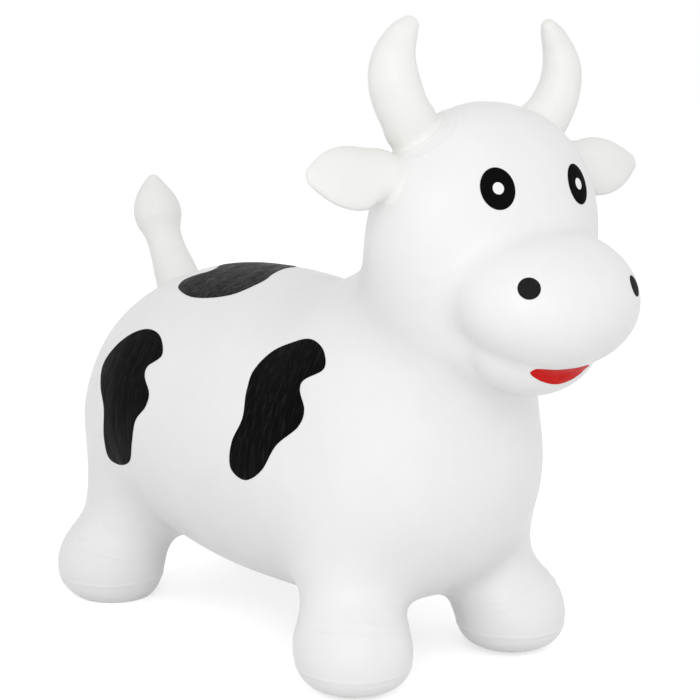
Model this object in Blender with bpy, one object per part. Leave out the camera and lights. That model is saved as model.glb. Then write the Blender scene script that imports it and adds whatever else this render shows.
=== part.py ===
"""A bouncy ride on cow: a hollow inflated skin on four soft feet, with horns to hold and an air plug.

The cow faces -Y, its left side is +X, and it stands on z = 0. Sizes are in metres.
The skin is the surface where body_distance is zero. Each zone of it is a wall of even thickness.
"""

import math

import bmesh
import bpy
import numpy as np
from mathutils import Matrix, Vector

# Wall, clearances and facets
WALL = 0.0015
GAP = 0.0003
TORSO_FACET = 0.0280
HEAD_FACET = 0.0175
LIMB_FACET = 0.0205
SOLE_STEP = 0.0012

# Trunk, as three overlapping balls
RUMP_Y = 0.1535
RUMP_Z = 0.1900
RUMP_HALF_WIDTH = 0.1365
RUMP_HALF_LENGTH = 0.1390
RUMP_HALF_HEIGHT = 0.1180
CHEST_Y = -0.0550
CHEST_Z = 0.1685
CHEST_HALF_WIDTH = 0.1285
CHEST_HALF_LENGTH = 0.1440
CHEST_HALF_HEIGHT = 0.1225
BELLY_Y = 0.0670
BELLY_Z = 0.1760
BELLY_HALF_WIDTH = 0.1145
BELLY_HALF_LENGTH = 0.1265
BELLY_HALF_HEIGHT = 0.1115

# Neck and head
NECK_BASE_Y = -0.0950
NECK_BASE_Z = 0.2505
NECK_BASE_RADIUS = 0.0855
NECK_TOP_Y = -0.1605
NECK_TOP_Z = 0.3110
NECK_TOP_RADIUS = 0.0770
HEAD_Y = -0.1800
HEAD_Z = 0.3740
HEAD_HALF_WIDTH = 0.1040
HEAD_HALF_LENGTH = 0.0675
HEAD_HALF_HEIGHT = 0.0940
MUZZLE_Y = -0.2470
MUZZLE_Z = 0.3225
MUZZLE_HALF_WIDTH = 0.0795
MUZZLE_HALF_LENGTH = 0.0640
MUZZLE_HALF_HEIGHT = 0.0525
MUZZLE_TILT = math.radians(20)
LIP_Y = -0.2358
LIP_Z = 0.2890
LIP_HALF_WIDTH = 0.0590
LIP_HALF_LENGTH = 0.0410
LIP_HALF_HEIGHT = 0.0430

# Legs, as cones that run down into balls, cut flat at the soles
FRONT_HIP_X = 0.0690
FRONT_HIP_Y = -0.0960
FRONT_HIP_Z = 0.1480
FRONT_HIP_RADIUS = 0.0255
FRONT_ANKLE_X = 0.0925
FRONT_ANKLE_Y = -0.1120
FRONT_ANKLE_Z = 0.0405
FRONT_ANKLE_RADIUS = 0.0320
FRONT_FOOT_X = 0.0870
FRONT_FOOT_Y = -0.1255
REAR_HIP_X = 0.0670
REAR_HIP_Y = 0.2035
REAR_HIP_Z = 0.1580
REAR_HIP_RADIUS = 0.0460
REAR_ANKLE_X = 0.0955
REAR_ANKLE_Y = 0.2180
REAR_ANKLE_Z = 0.0310
REAR_ANKLE_RADIUS = 0.0405
REAR_FOOT_X = 0.0995
REAR_FOOT_Y = 0.2295
FOOT_Z = 0.0305
FOOT_RADIUS = 0.0470
FOOT_HALF_HEIGHT = 0.0458

# Roundings where the shapes above run together
TORSO_BLEND = 0.0910
NECK_BLEND = 0.0560
LEG_BLEND = 0.0435
FOOT_BLEND = 0.0185
MUZZLE_BLEND = 0.0130
LIP_BLEND = 0.0070
SOLE_BLEND = 0.0180

# Zones of the skin
NECK_CUT_Y = -0.0700
NECK_CUT_Z = 0.2980
NECK_CUT_LEAN = math.radians(23.5)
LEG_CUT_SHARE = 0.56
LEG_CUT_LEAN = math.radians(37)
LEG_CUT_TURN = math.radians(33)
LEG_REACH = 0.0950
HEAD_REACH = 0.3500
ANKLE_Z = 0.0455

# Horns: a centre line through four points, and a section a little longer along one diagonal
HORN_ROOT = (0.0512, -0.1680, 0.4335)
HORN_LOWER_BEND = (0.1248, -0.1803, 0.4952)
HORN_UPPER_BEND = (0.0674, -0.1637, 0.5196)
HORN_TIP = (0.0760, -0.1763, 0.5281)
HORN_RADIUS = 0.0223
HORN_STATION_SHARES = (0.0, 0.2, 0.4, 0.6, 0.8, 0.92, 1.0)
HORN_RADIUS_SHARES = (1.0, 0.82, 0.715, 0.556, 0.413, 0.318, 0.281)
HORN_OVAL_SHARE = 0.175
HORN_OVAL_TURN = math.radians(43)
HORN_RINGS = 7

# Ears: a straight line from the tip to the skin, and an upright oval section
EAR_TIP = (0.1722, -0.1768, 0.4164)
EAR_TURN = math.radians(-2)
EAR_RISE = math.radians(5)
EAR_ROLL = math.radians(-20)
EAR_ROOT_RADIUS = 0.0145
EAR_HALF_HEIGHT = 0.0250
EAR_HALF_THICKNESS = 0.0105
EAR_STATION_SHARES = (0.0, 0.16, 0.32, 0.48, 0.64, 0.79, 0.91, 1.0)
EAR_HEIGHT_SHARES = (0.58, 0.80, 0.96, 1.0, 0.92, 0.72, 0.44, 0.17)
EAR_THICKNESS_SHARES = (1.35, 1.10, 1.0, 0.90, 0.80, 0.66, 0.50, 0.28)

# Tail: a stalk in the middle plane that swells to a bulb with a pointed end
TAIL_ROOT = (0.0, 0.2400, 0.2730)
TAIL_LOWER_BEND = (0.0, 0.2700, 0.3180)
TAIL_UPPER_BEND = (0.0, 0.2915, 0.3500)
TAIL_TIP = (0.0, 0.2933, 0.3878)
TAIL_RADIUS = 0.0222
TAIL_STATION_SHARES = (0.0, 0.2, 0.35, 0.5, 0.64, 0.78, 0.9, 1.0)
TAIL_RADIUS_SHARES = (1.0, 0.93, 0.81, 0.80, 1.03, 0.97, 0.66, 0.26)
TAIL_RINGS = 8

# Knuckles: the ball shaped roots on which horns, ears and tail flex in the skin
KNUCKLE_GROWTH = 1.03
KNUCKLE_LOW = math.radians(26)
KNUCKLE_HIGH = math.radians(12)
KNUCKLE_RINGS = 4
LIMB_SIDES = 14
TIP_ANGLES = (math.radians(40), math.radians(70))

# Air valve in the belly
VALVE_Y = 0.1150
SEAT_RADIUS = 0.0130
SEAT_HEIGHT = 0.0100
STEM_RADIUS = 0.0040
STEM_TIP_RADIUS = 0.0034
STEM_LENGTH = 0.0140
PLUG_RADIUS = 0.0090
PLUG_THICKNESS = 0.0025
PLUG_ROUNDING = 0.0007
TURNED_SIDES = 18

# Prints on the face
PRINT_THICKNESS = 0.0005
PRINT_RINGS = 4
EYE_X = 0.0424
EYE_Z = 0.4050
EYE_HALF_WIDTH = 0.0142
EYE_HALF_HEIGHT = 0.0160
EYE_DOT_RADIUS = 0.0045
MUZZLE_PRINT_X = -0.0062
NOSTRIL_X = 0.0502
NOSTRIL_Z = 0.3350
NOSTRIL_RISE = 0.0024
NOSTRIL_RADIUS = 0.0083
MOUTH_TOP_Z = 0.2714
MOUTH_HALF_WIDTH = 0.0282
MOUTH_DEPTH = 0.0118

# Prints on the body: the corner that a spot's outline starts from, its size, and its outline
FRONT_SPOT_Y = -0.1013
FRONT_SPOT_Z = 0.1635
FRONT_SPOT_LENGTH = 0.0800
FRONT_SPOT_HEIGHT = 0.1154
FRONT_SPOT_SHARES = (
    (0.35, 1.0), (0.10, 0.95), (0.0, 0.83), (0.20, 0.74), (0.21, 0.67), (0.09, 0.55), (0.12, 0.43),
    (0.34, 0.29), (0.50, 0.10), (0.75, 0.0), (0.97, 0.06), (0.98, 0.24), (0.89, 0.42), (0.96, 0.60),
    (0.99, 0.74), (0.87, 0.87), (0.63, 0.95),
)
REAR_SPOT_Y = 0.0904
REAR_SPOT_Z = 0.1437
REAR_SPOT_LENGTH = 0.0912
REAR_SPOT_HEIGHT = 0.1223
REAR_SPOT_SHARES = (
    (0.43, 1.0), (0.17, 0.97), (0.0, 0.86), (0.14, 0.77), (0.13, 0.70), (0.0, 0.60), (0.02, 0.50),
    (0.16, 0.39), (0.24, 0.22), (0.35, 0.07), (0.60, 0.0), (0.83, 0.02), (0.84, 0.16), (0.78, 0.40),
    (0.93, 0.56), (1.0, 0.69), (0.89, 0.82), (0.68, 0.94),
)
TOP_SPOT_X = -0.0810
TOP_SPOT_Y = 0.0596
TOP_SPOT_WIDTH = 0.1170
TOP_SPOT_LENGTH = 0.1004
TOP_SPOT_SHARES = (
    (0.06, 0.80), (0.0, 0.51), (0.04, 0.23), (0.15, 0.04), (0.35, 0.0), (0.51, 0.09), (0.69, 0.20),
    (0.89, 0.33), (1.0, 0.62), (0.94, 0.80), (0.80, 0.93), (0.66, 1.0), (0.53, 0.93), (0.42, 0.82),
    (0.34, 0.81), (0.24, 0.91), (0.16, 0.92),
)
OUTLINE_STEPS = 2
CUT_OVERRUN = 0.0200

# Colour and roughness of each surface
VINYL_LOOK = ((0.87, 0.86, 0.84), 0.38)
FOOT_LOOK = ((0.86, 0.85, 0.83), 0.45)
IVORY_LOOK = ((0.88, 0.87, 0.84), 0.42)
COLLAR_LOOK = ((0.80, 0.80, 0.79), 0.35)
PLUG_LOOK = ((0.85, 0.85, 0.85), 0.30)
BLACK_LOOK = ((0.012, 0.012, 0.013), 0.35)
WHITE_LOOK = ((0.90, 0.90, 0.90), 0.35)
RED_LOOK = ((0.72, 0.03, 0.02), 0.35)

# How the shapes are worked out
SIDES = {"left": 1, "right": -1}
TINY = 1e-9
TRACE_STEPS = 60
TRACE_SHARE = 0.8
RELAX_PASSES = 8
CREASE_DRAWS = 4
TURN_SHARE = 0.01
MERGE_SHARE = 0.1
SMOOTH_SHADING = math.radians(50)


def clear_scene():
    """Start from an empty scene."""
    for thing in list(bpy.data.objects):
        bpy.data.objects.remove(thing, do_unlink=True)


def blended(first, second, width):
    """The lesser of two distances, rounded over this width where they are alike."""
    near = np.maximum(width - np.abs(first - second), 0.0) / width
    return np.minimum(first, second) - near * near * width / 4


def ball_distance(points, centre, half_sizes, tilt=0.0):
    """Distance of points from a ball stretched to three half sizes and tilted about X."""
    local = points - np.array(centre)
    cosine, sine = math.cos(tilt), math.sin(tilt)
    along = cosine * local[..., 1] + sine * local[..., 2]
    up = cosine * local[..., 2] - sine * local[..., 1]
    local = np.stack([local[..., 0], along, up], axis=-1)
    half = np.array(half_sizes)
    outer = np.sqrt(((local / half) ** 2).sum(-1)) + TINY
    steep = np.sqrt(((local / half**2) ** 2).sum(-1)) + TINY
    return outer * (outer - 1) / steep


def cone_distance(points, start, end, start_radius, end_radius):
    """Distance of points from a round ended cone."""
    start = np.array(start)
    line = np.array(end) - start
    share = np.clip(((points - start) @ line) / (line @ line), 0.0, 1.0)
    from_line = np.linalg.norm(points - start - share[..., None] * line, axis=-1)
    return from_line - (start_radius + (end_radius - start_radius) * share)


def trunk_balls():
    """Centre and half sizes of the rump, the chest and the belly."""
    return (
        ((0.0, RUMP_Y, RUMP_Z), (RUMP_HALF_WIDTH, RUMP_HALF_LENGTH, RUMP_HALF_HEIGHT)),
        ((0.0, CHEST_Y, CHEST_Z), (CHEST_HALF_WIDTH, CHEST_HALF_LENGTH, CHEST_HALF_HEIGHT)),
        ((0.0, BELLY_Y, BELLY_Z), (BELLY_HALF_WIDTH, BELLY_HALF_LENGTH, BELLY_HALF_HEIGHT)),
    )


def head_balls():
    """Centre, half sizes and tilt of the head, the muzzle and the lip."""
    return (
        ((0.0, HEAD_Y, HEAD_Z), (HEAD_HALF_WIDTH, HEAD_HALF_LENGTH, HEAD_HALF_HEIGHT), 0.0),
        (
            (0.0, MUZZLE_Y, MUZZLE_Z),
            (MUZZLE_HALF_WIDTH, MUZZLE_HALF_LENGTH, MUZZLE_HALF_HEIGHT),
            MUZZLE_TILT,
        ),
        ((0.0, LIP_Y, LIP_Z), (LIP_HALF_WIDTH, LIP_HALF_LENGTH, LIP_HALF_HEIGHT), 0.0),
    )


def neck_cone():
    """The ends and radii of the neck."""
    start = (0.0, NECK_BASE_Y, NECK_BASE_Z)
    stop = (0.0, NECK_TOP_Y, NECK_TOP_Z)
    return start, stop, NECK_BASE_RADIUS, NECK_TOP_RADIUS


def leg_cones():
    """The ends and radii of a front and a rear leg on the left side."""
    return {
        "front": (
            (FRONT_HIP_X, FRONT_HIP_Y, FRONT_HIP_Z),
            (FRONT_ANKLE_X, FRONT_ANKLE_Y, FRONT_ANKLE_Z),
            FRONT_HIP_RADIUS,
            FRONT_ANKLE_RADIUS,
        ),
        "rear": (
            (REAR_HIP_X, REAR_HIP_Y, REAR_HIP_Z),
            (REAR_ANKLE_X, REAR_ANKLE_Y, REAR_ANKLE_Z),
            REAR_HIP_RADIUS,
            REAR_ANKLE_RADIUS,
        ),
    }


def foot_centres():
    """The centres of a front and a rear foot on the left side."""
    return {"front": (FRONT_FOOT_X, FRONT_FOOT_Y, FOOT_Z), "rear": (REAR_FOOT_X, REAR_FOOT_Y, FOOT_Z)}


def body_distance(points):
    """Distance of points from the outer skin, less than zero inside. Both sides of the cow are alike."""
    points = np.stack([np.abs(points[..., 0]), points[..., 1], points[..., 2]], axis=-1)
    rump, chest, belly = (ball_distance(points, *ball) for ball in trunk_balls())
    head, muzzle, lip = (ball_distance(points, *ball) for ball in head_balls())
    trunk = blended(blended(rump, chest, TORSO_BLEND), belly, TORSO_BLEND)
    face = blended(head, cone_distance(points, *neck_cone()), NECK_BLEND)
    body = blended(trunk, face, NECK_BLEND)
    foot_half_sizes = (FOOT_RADIUS, FOOT_RADIUS, FOOT_HALF_HEIGHT)
    for end, cone in leg_cones().items():
        foot = ball_distance(points, foot_centres()[end], foot_half_sizes)
        foot = -blended(-foot, points[..., 2], SOLE_BLEND)
        leg = blended(cone_distance(points, *cone), foot, FOOT_BLEND)
        body = blended(body, leg, LEG_BLEND)
    return blended(blended(body, muzzle, MUZZLE_BLEND), lip, LIP_BLEND)


def slope_of_body(points):
    """How body_distance changes along X, Y and Z."""
    steps = np.eye(3) * GAP
    changes = [body_distance(points + step) - body_distance(points - step) for step in steps]
    return np.stack(changes, axis=-1) / (2 * GAP)


def outward(points):
    """Unit directions out of the skin."""
    slope = slope_of_body(points)
    return slope / np.linalg.norm(slope, axis=-1, keepdims=True)


def drawn_to_skin(points):
    """Points moved square to the skin until they lie on it."""
    slope = slope_of_body(points)
    share = body_distance(points) / ((slope**2).sum(-1) + TINY)
    return points - share[..., None] * slope


def traced_to_skin(points, direction):
    """Where lines from outside points along one direction first meet the skin."""
    direction = np.array(direction) / np.linalg.norm(direction)
    for _ in range(TRACE_STEPS):
        points = points + (TRACE_SHARE * body_distance(points))[..., None] * direction
    return points


def crease_distance(points):
    """How far points on the skin are from the creases above and below the muzzle."""
    points = np.stack([np.abs(points[..., 0]), points[..., 1], points[..., 2]], axis=-1)
    head, muzzle, lip = (ball_distance(points, *ball) for ball in head_balls())
    face = blended(head, cone_distance(points, *neck_cone()), NECK_BLEND)
    behind = np.minimum(face, lip)
    return np.maximum(np.abs(muzzle), np.abs(behind))


def halve_facets_at_creases(shape, facet):
    """Halve the facets within one facet of a crease, and draw them to the skin again."""
    centres = np.array([(edge.verts[0].co + edge.verts[1].co) / 2 for edge in shape.edges])
    near = crease_distance(centres) < facet
    bmesh.ops.subdivide_edges(
        shape, edges=[edge for edge, inside in zip(shape.edges, near) if inside], cuts=1, use_grid_fill=True
    )
    points = np.array([vert.co for vert in shape.verts])
    for _ in range(CREASE_DRAWS):
        points = drawn_to_skin(points)
    for vert, place in zip(shape.verts, points):
        vert.co = place


def finished_mesh(piece):
    """A copy of an object's mesh with its modifiers applied."""
    return bpy.data.meshes.new_from_object(piece.evaluated_get(bpy.context.evaluated_depsgraph_get()))


def body_mesh(facet, with_creases=False):
    """The whole closed skin in even facets: overlapping shapes are remeshed, then drawn to the skin."""
    shape = bmesh.new()
    balls = [(centre, half, 0.0) for centre, half in trunk_balls()] + list(head_balls())
    cones = [neck_cone()]
    for end, cone in leg_cones().items():
        for side in SIDES.values():
            start, stop, start_radius, stop_radius = cone
            mirror = Vector((side, 1, 1))
            cones.append((Vector(start) * mirror, Vector(stop) * mirror, start_radius, stop_radius))
            foot = Vector(foot_centres()[end]) * mirror
            balls.append((foot, (FOOT_RADIUS, FOOT_RADIUS, FOOT_Z), 0.0))
    for centre, half, tilt in balls:
        place = Matrix.Translation(centre) @ Matrix.Rotation(tilt, 4, "X") @ Matrix.Diagonal((*half, 1))
        bmesh.ops.create_icosphere(shape, subdivisions=3, radius=1, matrix=place)
    for start, stop, start_radius, stop_radius in cones:
        line = Vector(stop) - Vector(start)
        turn = line.to_track_quat("Z", "Y").to_matrix().to_4x4()
        place = Matrix.Translation(Vector(start) + line / 2) @ turn
        bmesh.ops.create_cone(
            shape, cap_ends=True, segments=LIMB_SIDES, radius1=start_radius, radius2=stop_radius,
            depth=line.length, matrix=place,
        )
    mesh = bpy.data.meshes.new("skin_facets")
    shape.to_mesh(mesh)
    shape.free()
    rough = bpy.data.objects.new("skin_facets", mesh)
    bpy.context.scene.collection.objects.link(rough)
    remesh = rough.modifiers.new("even_facets", "REMESH")
    remesh.mode = "VOXEL"
    remesh.voxel_size = facet
    even = finished_mesh(rough)
    bpy.data.objects.remove(rough, do_unlink=True)
    bpy.data.meshes.remove(mesh)
    points = np.empty(len(even.vertices) * 3)
    even.vertices.foreach_get("co", points)
    points = points.reshape(-1, 3)
    ends = np.empty(len(even.edges) * 2, dtype=int)
    even.edges.foreach_get("vertices", ends)
    ends = ends.reshape(-1, 2)
    neighbours = np.bincount(ends.ravel(), minlength=len(points))[:, None]
    for _ in range(RELAX_PASSES):
        sums = np.zeros_like(points)
        np.add.at(sums, ends[:, 0], points[ends[:, 1]])
        np.add.at(sums, ends[:, 1], points[ends[:, 0]])
        points = drawn_to_skin(drawn_to_skin((points + sums / neighbours) / 2))
    points[points[:, 2] < SOLE_STEP, 2] = 0.0
    even.vertices.foreach_set("co", points.ravel())
    shape = bmesh.new()
    shape.from_mesh(even)
    if with_creases:
        halve_facets_at_creases(shape, facet)
    bmesh.ops.triangulate(shape, faces=shape.faces)
    shape.to_mesh(even)
    shape.free()
    return even


def leg_cut(end, side):
    """A point on the plane that parts a leg from the trunk, and the plane's normal towards the foot."""
    start, stop = (Vector(point) for point in leg_cones()[end][:2])
    point = start.lerp(stop, LEG_CUT_SHARE) * Vector((side, 1, 1))
    forward = -1 if end == "front" else 1
    normal = Vector((
        side * math.sin(LEG_CUT_LEAN) * math.cos(LEG_CUT_TURN),
        forward * math.sin(LEG_CUT_LEAN) * math.sin(LEG_CUT_TURN),
        -math.cos(LEG_CUT_LEAN),
    ))
    return point, normal


def neck_cut():
    """A point on the plane that parts the neck from the trunk, and its normal towards the head."""
    normal = Vector((0.0, -math.sin(NECK_CUT_LEAN), math.cos(NECK_CUT_LEAN)))
    return Vector((0.0, NECK_CUT_Y, NECK_CUT_Z)), normal


def walled(mesh):
    """The closed wall between the skin and a second surface inside it, which faces the hollow."""
    shape = bmesh.new()
    shape.from_mesh(mesh)
    outer = list(shape.verts)
    points = np.array([vert.co for vert in outer])
    inner = points - WALL * outward(points)
    copy = bmesh.ops.duplicate(shape, geom=outer + list(shape.edges) + list(shape.faces))
    for vert, place in zip(outer, inner):
        copy["vert_map"][vert].co = place
    inner_faces = [face for face in copy["geom"] if isinstance(face, bmesh.types.BMFace)]
    bmesh.ops.reverse_faces(shape, faces=inner_faces)
    return shape


def block_beyond(point, normal, radius, shift):
    """A round block that starts at a plane, moved along its normal by a shift."""
    shape = bmesh.new()
    turn = normal.to_track_quat("Z", "Y").to_matrix().to_4x4()
    place = Matrix.Translation(point + normal * (shift + radius)) @ turn
    bmesh.ops.create_cone(
        shape, cap_ends=True, segments=TURNED_SIDES, radius1=radius, radius2=radius,
        depth=2 * radius, matrix=place,
    )
    return shape


def make_material(name, colour, roughness):
    """A plain surface of one colour."""
    material = bpy.data.materials.new(name)
    material.use_nodes = True
    shader = material.node_tree.nodes["Principled BSDF"]
    shader.inputs["Base Color"].default_value = (*colour, 1.0)
    shader.inputs["Roughness"].default_value = roughness
    shader.inputs["Metallic"].default_value = 0.0
    return material


def add_piece(name, shape, material, origin=(0.0, 0.0, 0.0)):
    """A named object whose origin is at the given point."""
    bmesh.ops.translate(shape, verts=shape.verts, vec=-Vector(origin))
    mesh = bpy.data.meshes.new(name)
    shape.to_mesh(mesh)
    shape.free()
    mesh.shade_smooth()
    mesh.set_sharp_from_angle(angle=SMOOTH_SHADING)
    piece = bpy.data.objects.new(name, mesh)
    piece.location = origin
    piece.data.materials.append(material)
    bpy.context.scene.collection.objects.link(piece)
    return piece


def add_cutter(name, shape):
    """A hidden helper that only shapes other pieces."""
    mesh = bpy.data.meshes.new(name)
    shape.to_mesh(mesh)
    shape.free()
    cutter = bpy.data.objects.new(name, mesh)
    cutter.hide_render = True
    cutter.display_type = "WIRE"
    bpy.context.scene.collection.objects.link(cutter)
    return cutter


def cut(piece, cutter, operation="DIFFERENCE"):
    """Shape a piece by a cutter."""
    boolean = piece.modifiers.new(cutter.name, "BOOLEAN")
    boolean.operation = operation
    boolean.solver = "EXACT"
    boolean.object = cutter


def along_curve(shares, controls):
    """Points on the smooth curve with these four control points."""
    share = np.asarray(shares)[..., None]
    start, low, high, stop = (np.array(point) for point in controls)
    rest = 1 - share
    return rest**3 * start + 3 * rest**2 * share * low + 3 * rest * share**2 * high + share**3 * stop


def root_share(controls):
    """The share of a curve at which it leaves the skin."""
    low, high = 0.0, 1.0
    for _ in range(TRACE_STEPS):
        middle = (low + high) / 2
        if body_distance(along_curve(middle, controls)) < 0.0:
            low = middle
        else:
            high = middle
    return high


def oval_place(centre, axis, across, half_across, half_other):
    """The matrix that puts a unit circle square to an axis and stretches it to an oval."""
    axis = Vector(axis).normalized()
    across = Vector(across)
    across = (across - axis * across.dot(axis)).normalized()
    turn = Matrix((across, axis.cross(across), axis)).transposed().to_4x4()
    return Matrix.Translation(centre) @ turn @ Matrix.Diagonal((half_across, half_other, 1, 1))


def add_loft(shape, ovals):
    """A surface through ovals, closed at its end. Each has centre, axis, direction and two half sizes."""
    last = None
    first = None
    for oval in ovals:
        circle = bmesh.ops.create_circle(shape, segments=LIMB_SIDES, radius=1, matrix=oval_place(*oval))
        edges = list({edge for vert in circle["verts"] for edge in vert.link_edges})
        if last:
            bmesh.ops.bridge_loops(shape, edges=last + edges)
        first = first or edges
        last = edges
    bmesh.ops.holes_fill(shape, edges=last, sides=LIMB_SIDES)
    return first


def hollow_limb(ovals):
    """A closed ended tube with an even wall, open at its first oval, where the rim slopes in a little."""
    shape = bmesh.new()
    outer = add_loft(shape, ovals)
    inside = []
    for centre, axis, across, half_across, half_other in ovals:
        if min(half_across, half_other) < 2 * WALL:
            break
        recess = 0.0 if inside else GAP
        deeper = np.array(centre) + np.array(Vector(axis).normalized()) * recess
        inside.append((deeper, axis, across, half_across - WALL, half_other - WALL))
    inner = add_loft(shape, inside)
    bmesh.ops.bridge_loops(shape, edges=outer + inner)
    bmesh.ops.recalc_face_normals(shape, faces=shape.faces)
    return shape


def knuckle_ovals(hinge, out, across, radius):
    """Ovals over the ball shaped root of a limb, from inside the skin to just outside it."""
    ovals = []
    for angle in np.linspace(-KNUCKLE_LOW, KNUCKLE_HIGH, KNUCKLE_RINGS):
        centre = hinge + out * radius * math.sin(angle)
        ring = radius * math.cos(angle)
        ovals.append((centre, out, across, ring, ring))
    return ovals


def curved_limb(controls, stations, radius_shares, root_radius, rings, across, oval_share):
    """Hinge, knuckle radius and ovals of a round limb along a curve that starts inside the skin."""
    start = root_share(controls)
    hinge = along_curve(start, controls)
    out = outward(hinge)
    root = root_radius * np.interp(start, stations, radius_shares) * KNUCKLE_GROWTH
    ovals = knuckle_ovals(hinge, out, across, root)
    length = np.linalg.norm(along_curve(1.0, controls) - hinge)
    clear = start + (1 - start) * root * math.sin(2 * KNUCKLE_HIGH) / length
    for share in np.linspace(clear, 1.0, rings):
        centre = along_curve(share, controls)
        ahead = along_curve(share + TURN_SHARE, controls) - along_curve(share - TURN_SHARE, controls)
        ahead = ahead / np.linalg.norm(ahead)
        bend = min(np.linalg.norm(centre - hinge) / (2 * root), 1.0)
        axis = out * (1 - bend) + ahead * bend
        radius = root_radius * np.interp(share, stations, radius_shares)
        ovals.append((centre, axis, across, radius * (1 + oval_share * bend), radius))
    centre, axis, across, half_across, half_other = ovals[-1]
    axis = np.array(Vector(axis).normalized())
    for angle in TIP_ANGLES:
        beyond = centre + axis * half_other * math.sin(angle)
        ovals.append((beyond, axis, across, half_across * math.cos(angle), half_other * math.cos(angle)))
    return hinge, root, ovals


def add_ball_hole(name, piece, hinge, radius):
    """A hole in the skin that clears a knuckle. The faceted ball is large enough to hold the true one."""
    shape = bmesh.new()
    facet_angle = math.pi / TURNED_SIDES
    grown = (radius + GAP) / math.cos(facet_angle) ** 2
    place = Matrix.Translation(Vector(hinge))
    bmesh.ops.create_uvsphere(
        shape, u_segments=TURNED_SIDES, v_segments=TURNED_SIDES // 2, radius=grown, matrix=place
    )
    cut(piece, add_cutter(name, shape))


def add_horns(head, material):
    """Two hollow horns that curve out, up and in again."""
    for side_name, side in SIDES.items():
        mirror = np.array((side, 1, 1))
        bends = (HORN_ROOT, HORN_LOWER_BEND, HORN_UPPER_BEND, HORN_TIP)
        controls = [np.array(point) * mirror for point in bends]
        across = np.array((math.cos(HORN_OVAL_TURN), math.sin(HORN_OVAL_TURN), 0.0)) * mirror
        hinge, root, ovals = curved_limb(
            controls, HORN_STATION_SHARES, HORN_RADIUS_SHARES, HORN_RADIUS, HORN_RINGS,
            across, HORN_OVAL_SHARE,
        )
        add_piece(f"horn_{side_name}", hollow_limb(ovals), material, hinge)
        add_ball_hole(f"horn_hole_{side_name}", head, hinge, root)


def add_tail(torso, material):
    """The hollow tail on the rump."""
    controls = (TAIL_ROOT, TAIL_LOWER_BEND, TAIL_UPPER_BEND, TAIL_TIP)
    across = (1, 0, 0)
    hinge, root, ovals = curved_limb(
        controls, TAIL_STATION_SHARES, TAIL_RADIUS_SHARES, TAIL_RADIUS, TAIL_RINGS, across, 0.0
    )
    add_piece("tail", hollow_limb(ovals), material, hinge)
    add_ball_hole("tail_hole", torso, hinge, root)


def add_ears(head, material):
    """Two hollow ears that stand out sideways, flattened front to back."""
    for side_name, side in SIDES.items():
        mirror = np.array((side, 1, 1))
        level = math.cos(EAR_RISE)
        line = np.array((level * math.cos(EAR_TURN), level * math.sin(EAR_TURN), math.sin(EAR_RISE)))
        up = Matrix.Rotation(EAR_ROLL, 3, Vector(line)) @ Vector((0, 0, 1))
        line = line * mirror
        up = np.array(up) * mirror
        tip = np.array(EAR_TIP) * mirror
        hinge = traced_to_skin(tip, -line)
        out = outward(hinge)
        root = EAR_ROOT_RADIUS * KNUCKLE_GROWTH
        ovals = knuckle_ovals(hinge, out, up, root)
        clear = root * math.sin(2 * KNUCKLE_HIGH)
        length = np.linalg.norm(tip - hinge)
        for share, height, thickness in zip(EAR_STATION_SHARES, EAR_HEIGHT_SHARES, EAR_THICKNESS_SHARES):
            reach = clear + (length - clear) * share
            bend = min(reach / (2 * root), 1.0)
            axis = out * (1 - bend) + line * bend
            ovals.append((
                hinge + line * reach, axis, up, EAR_HALF_HEIGHT * height, EAR_HALF_THICKNESS * thickness
            ))
        add_piece(f"ear_{side_name}", hollow_limb(ovals), material, hinge)
        add_ball_hole(f"ear_hole_{side_name}", head, hinge, root)


def turned(profile, centre):
    """A solid turned about a vertical line from its closed profile of radius and height."""
    shape = bmesh.new()
    verts = [shape.verts.new((radius, 0.0, height)) for radius, height in profile]
    pairs = [(verts[i - 1], verts[i]) for i in range(len(verts))]
    edges = [shape.edges.new(pair) for pair in pairs if pair[0].co.x + pair[1].co.x > 0.0]
    bmesh.ops.spin(
        shape, geom=verts + edges, cent=(0, 0, 0), axis=(0, 0, 1), angle=math.tau,
        steps=TURNED_SIDES, use_merge=True,
    )
    bmesh.ops.remove_doubles(shape, verts=shape.verts, dist=GAP * MERGE_SHARE)
    bmesh.ops.recalc_face_normals(shape, faces=shape.faces)
    bmesh.ops.translate(shape, verts=shape.verts, vec=Vector(centre))
    return shape


def add_valve(torso, seat_material, plug_material):
    """The air hole's collar in the belly, and the plug pushed into it from below."""
    hole = traced_to_skin(np.array((0.0, VALVE_Y, 0.0)), (0, 0, 1))
    bore = STEM_RADIUS + GAP
    seat = turned(((bore, 0.0), (SEAT_RADIUS, 0.0), (SEAT_RADIUS, SEAT_HEIGHT), (bore, SEAT_HEIGHT)), hole)
    add_piece("valve_seat", seat, seat_material, hole)
    top = -GAP
    bottom = top - PLUG_THICKNESS
    plug = turned(
        (
            (0.0, bottom),
            (PLUG_RADIUS - PLUG_ROUNDING, bottom),
            (PLUG_RADIUS, bottom + PLUG_ROUNDING),
            (PLUG_RADIUS, top),
            (STEM_RADIUS, top),
            (STEM_TIP_RADIUS, top + STEM_LENGTH),
            (0.0, top + STEM_LENGTH),
        ),
        hole,
    )
    add_piece("valve_plug", plug, plug_material, hole)
    radius = (SEAT_RADIUS + GAP) / math.cos(math.pi / TURNED_SIDES)
    hole_shape = bmesh.new()
    bmesh.ops.create_cone(
        hole_shape, cap_ends=True, segments=TURNED_SIDES, radius1=radius, radius2=radius,
        depth=2 * CUT_OVERRUN, matrix=Matrix.Translation(Vector(hole)),
    )
    cut(torso, add_cutter("valve_hole", hole_shape))


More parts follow.
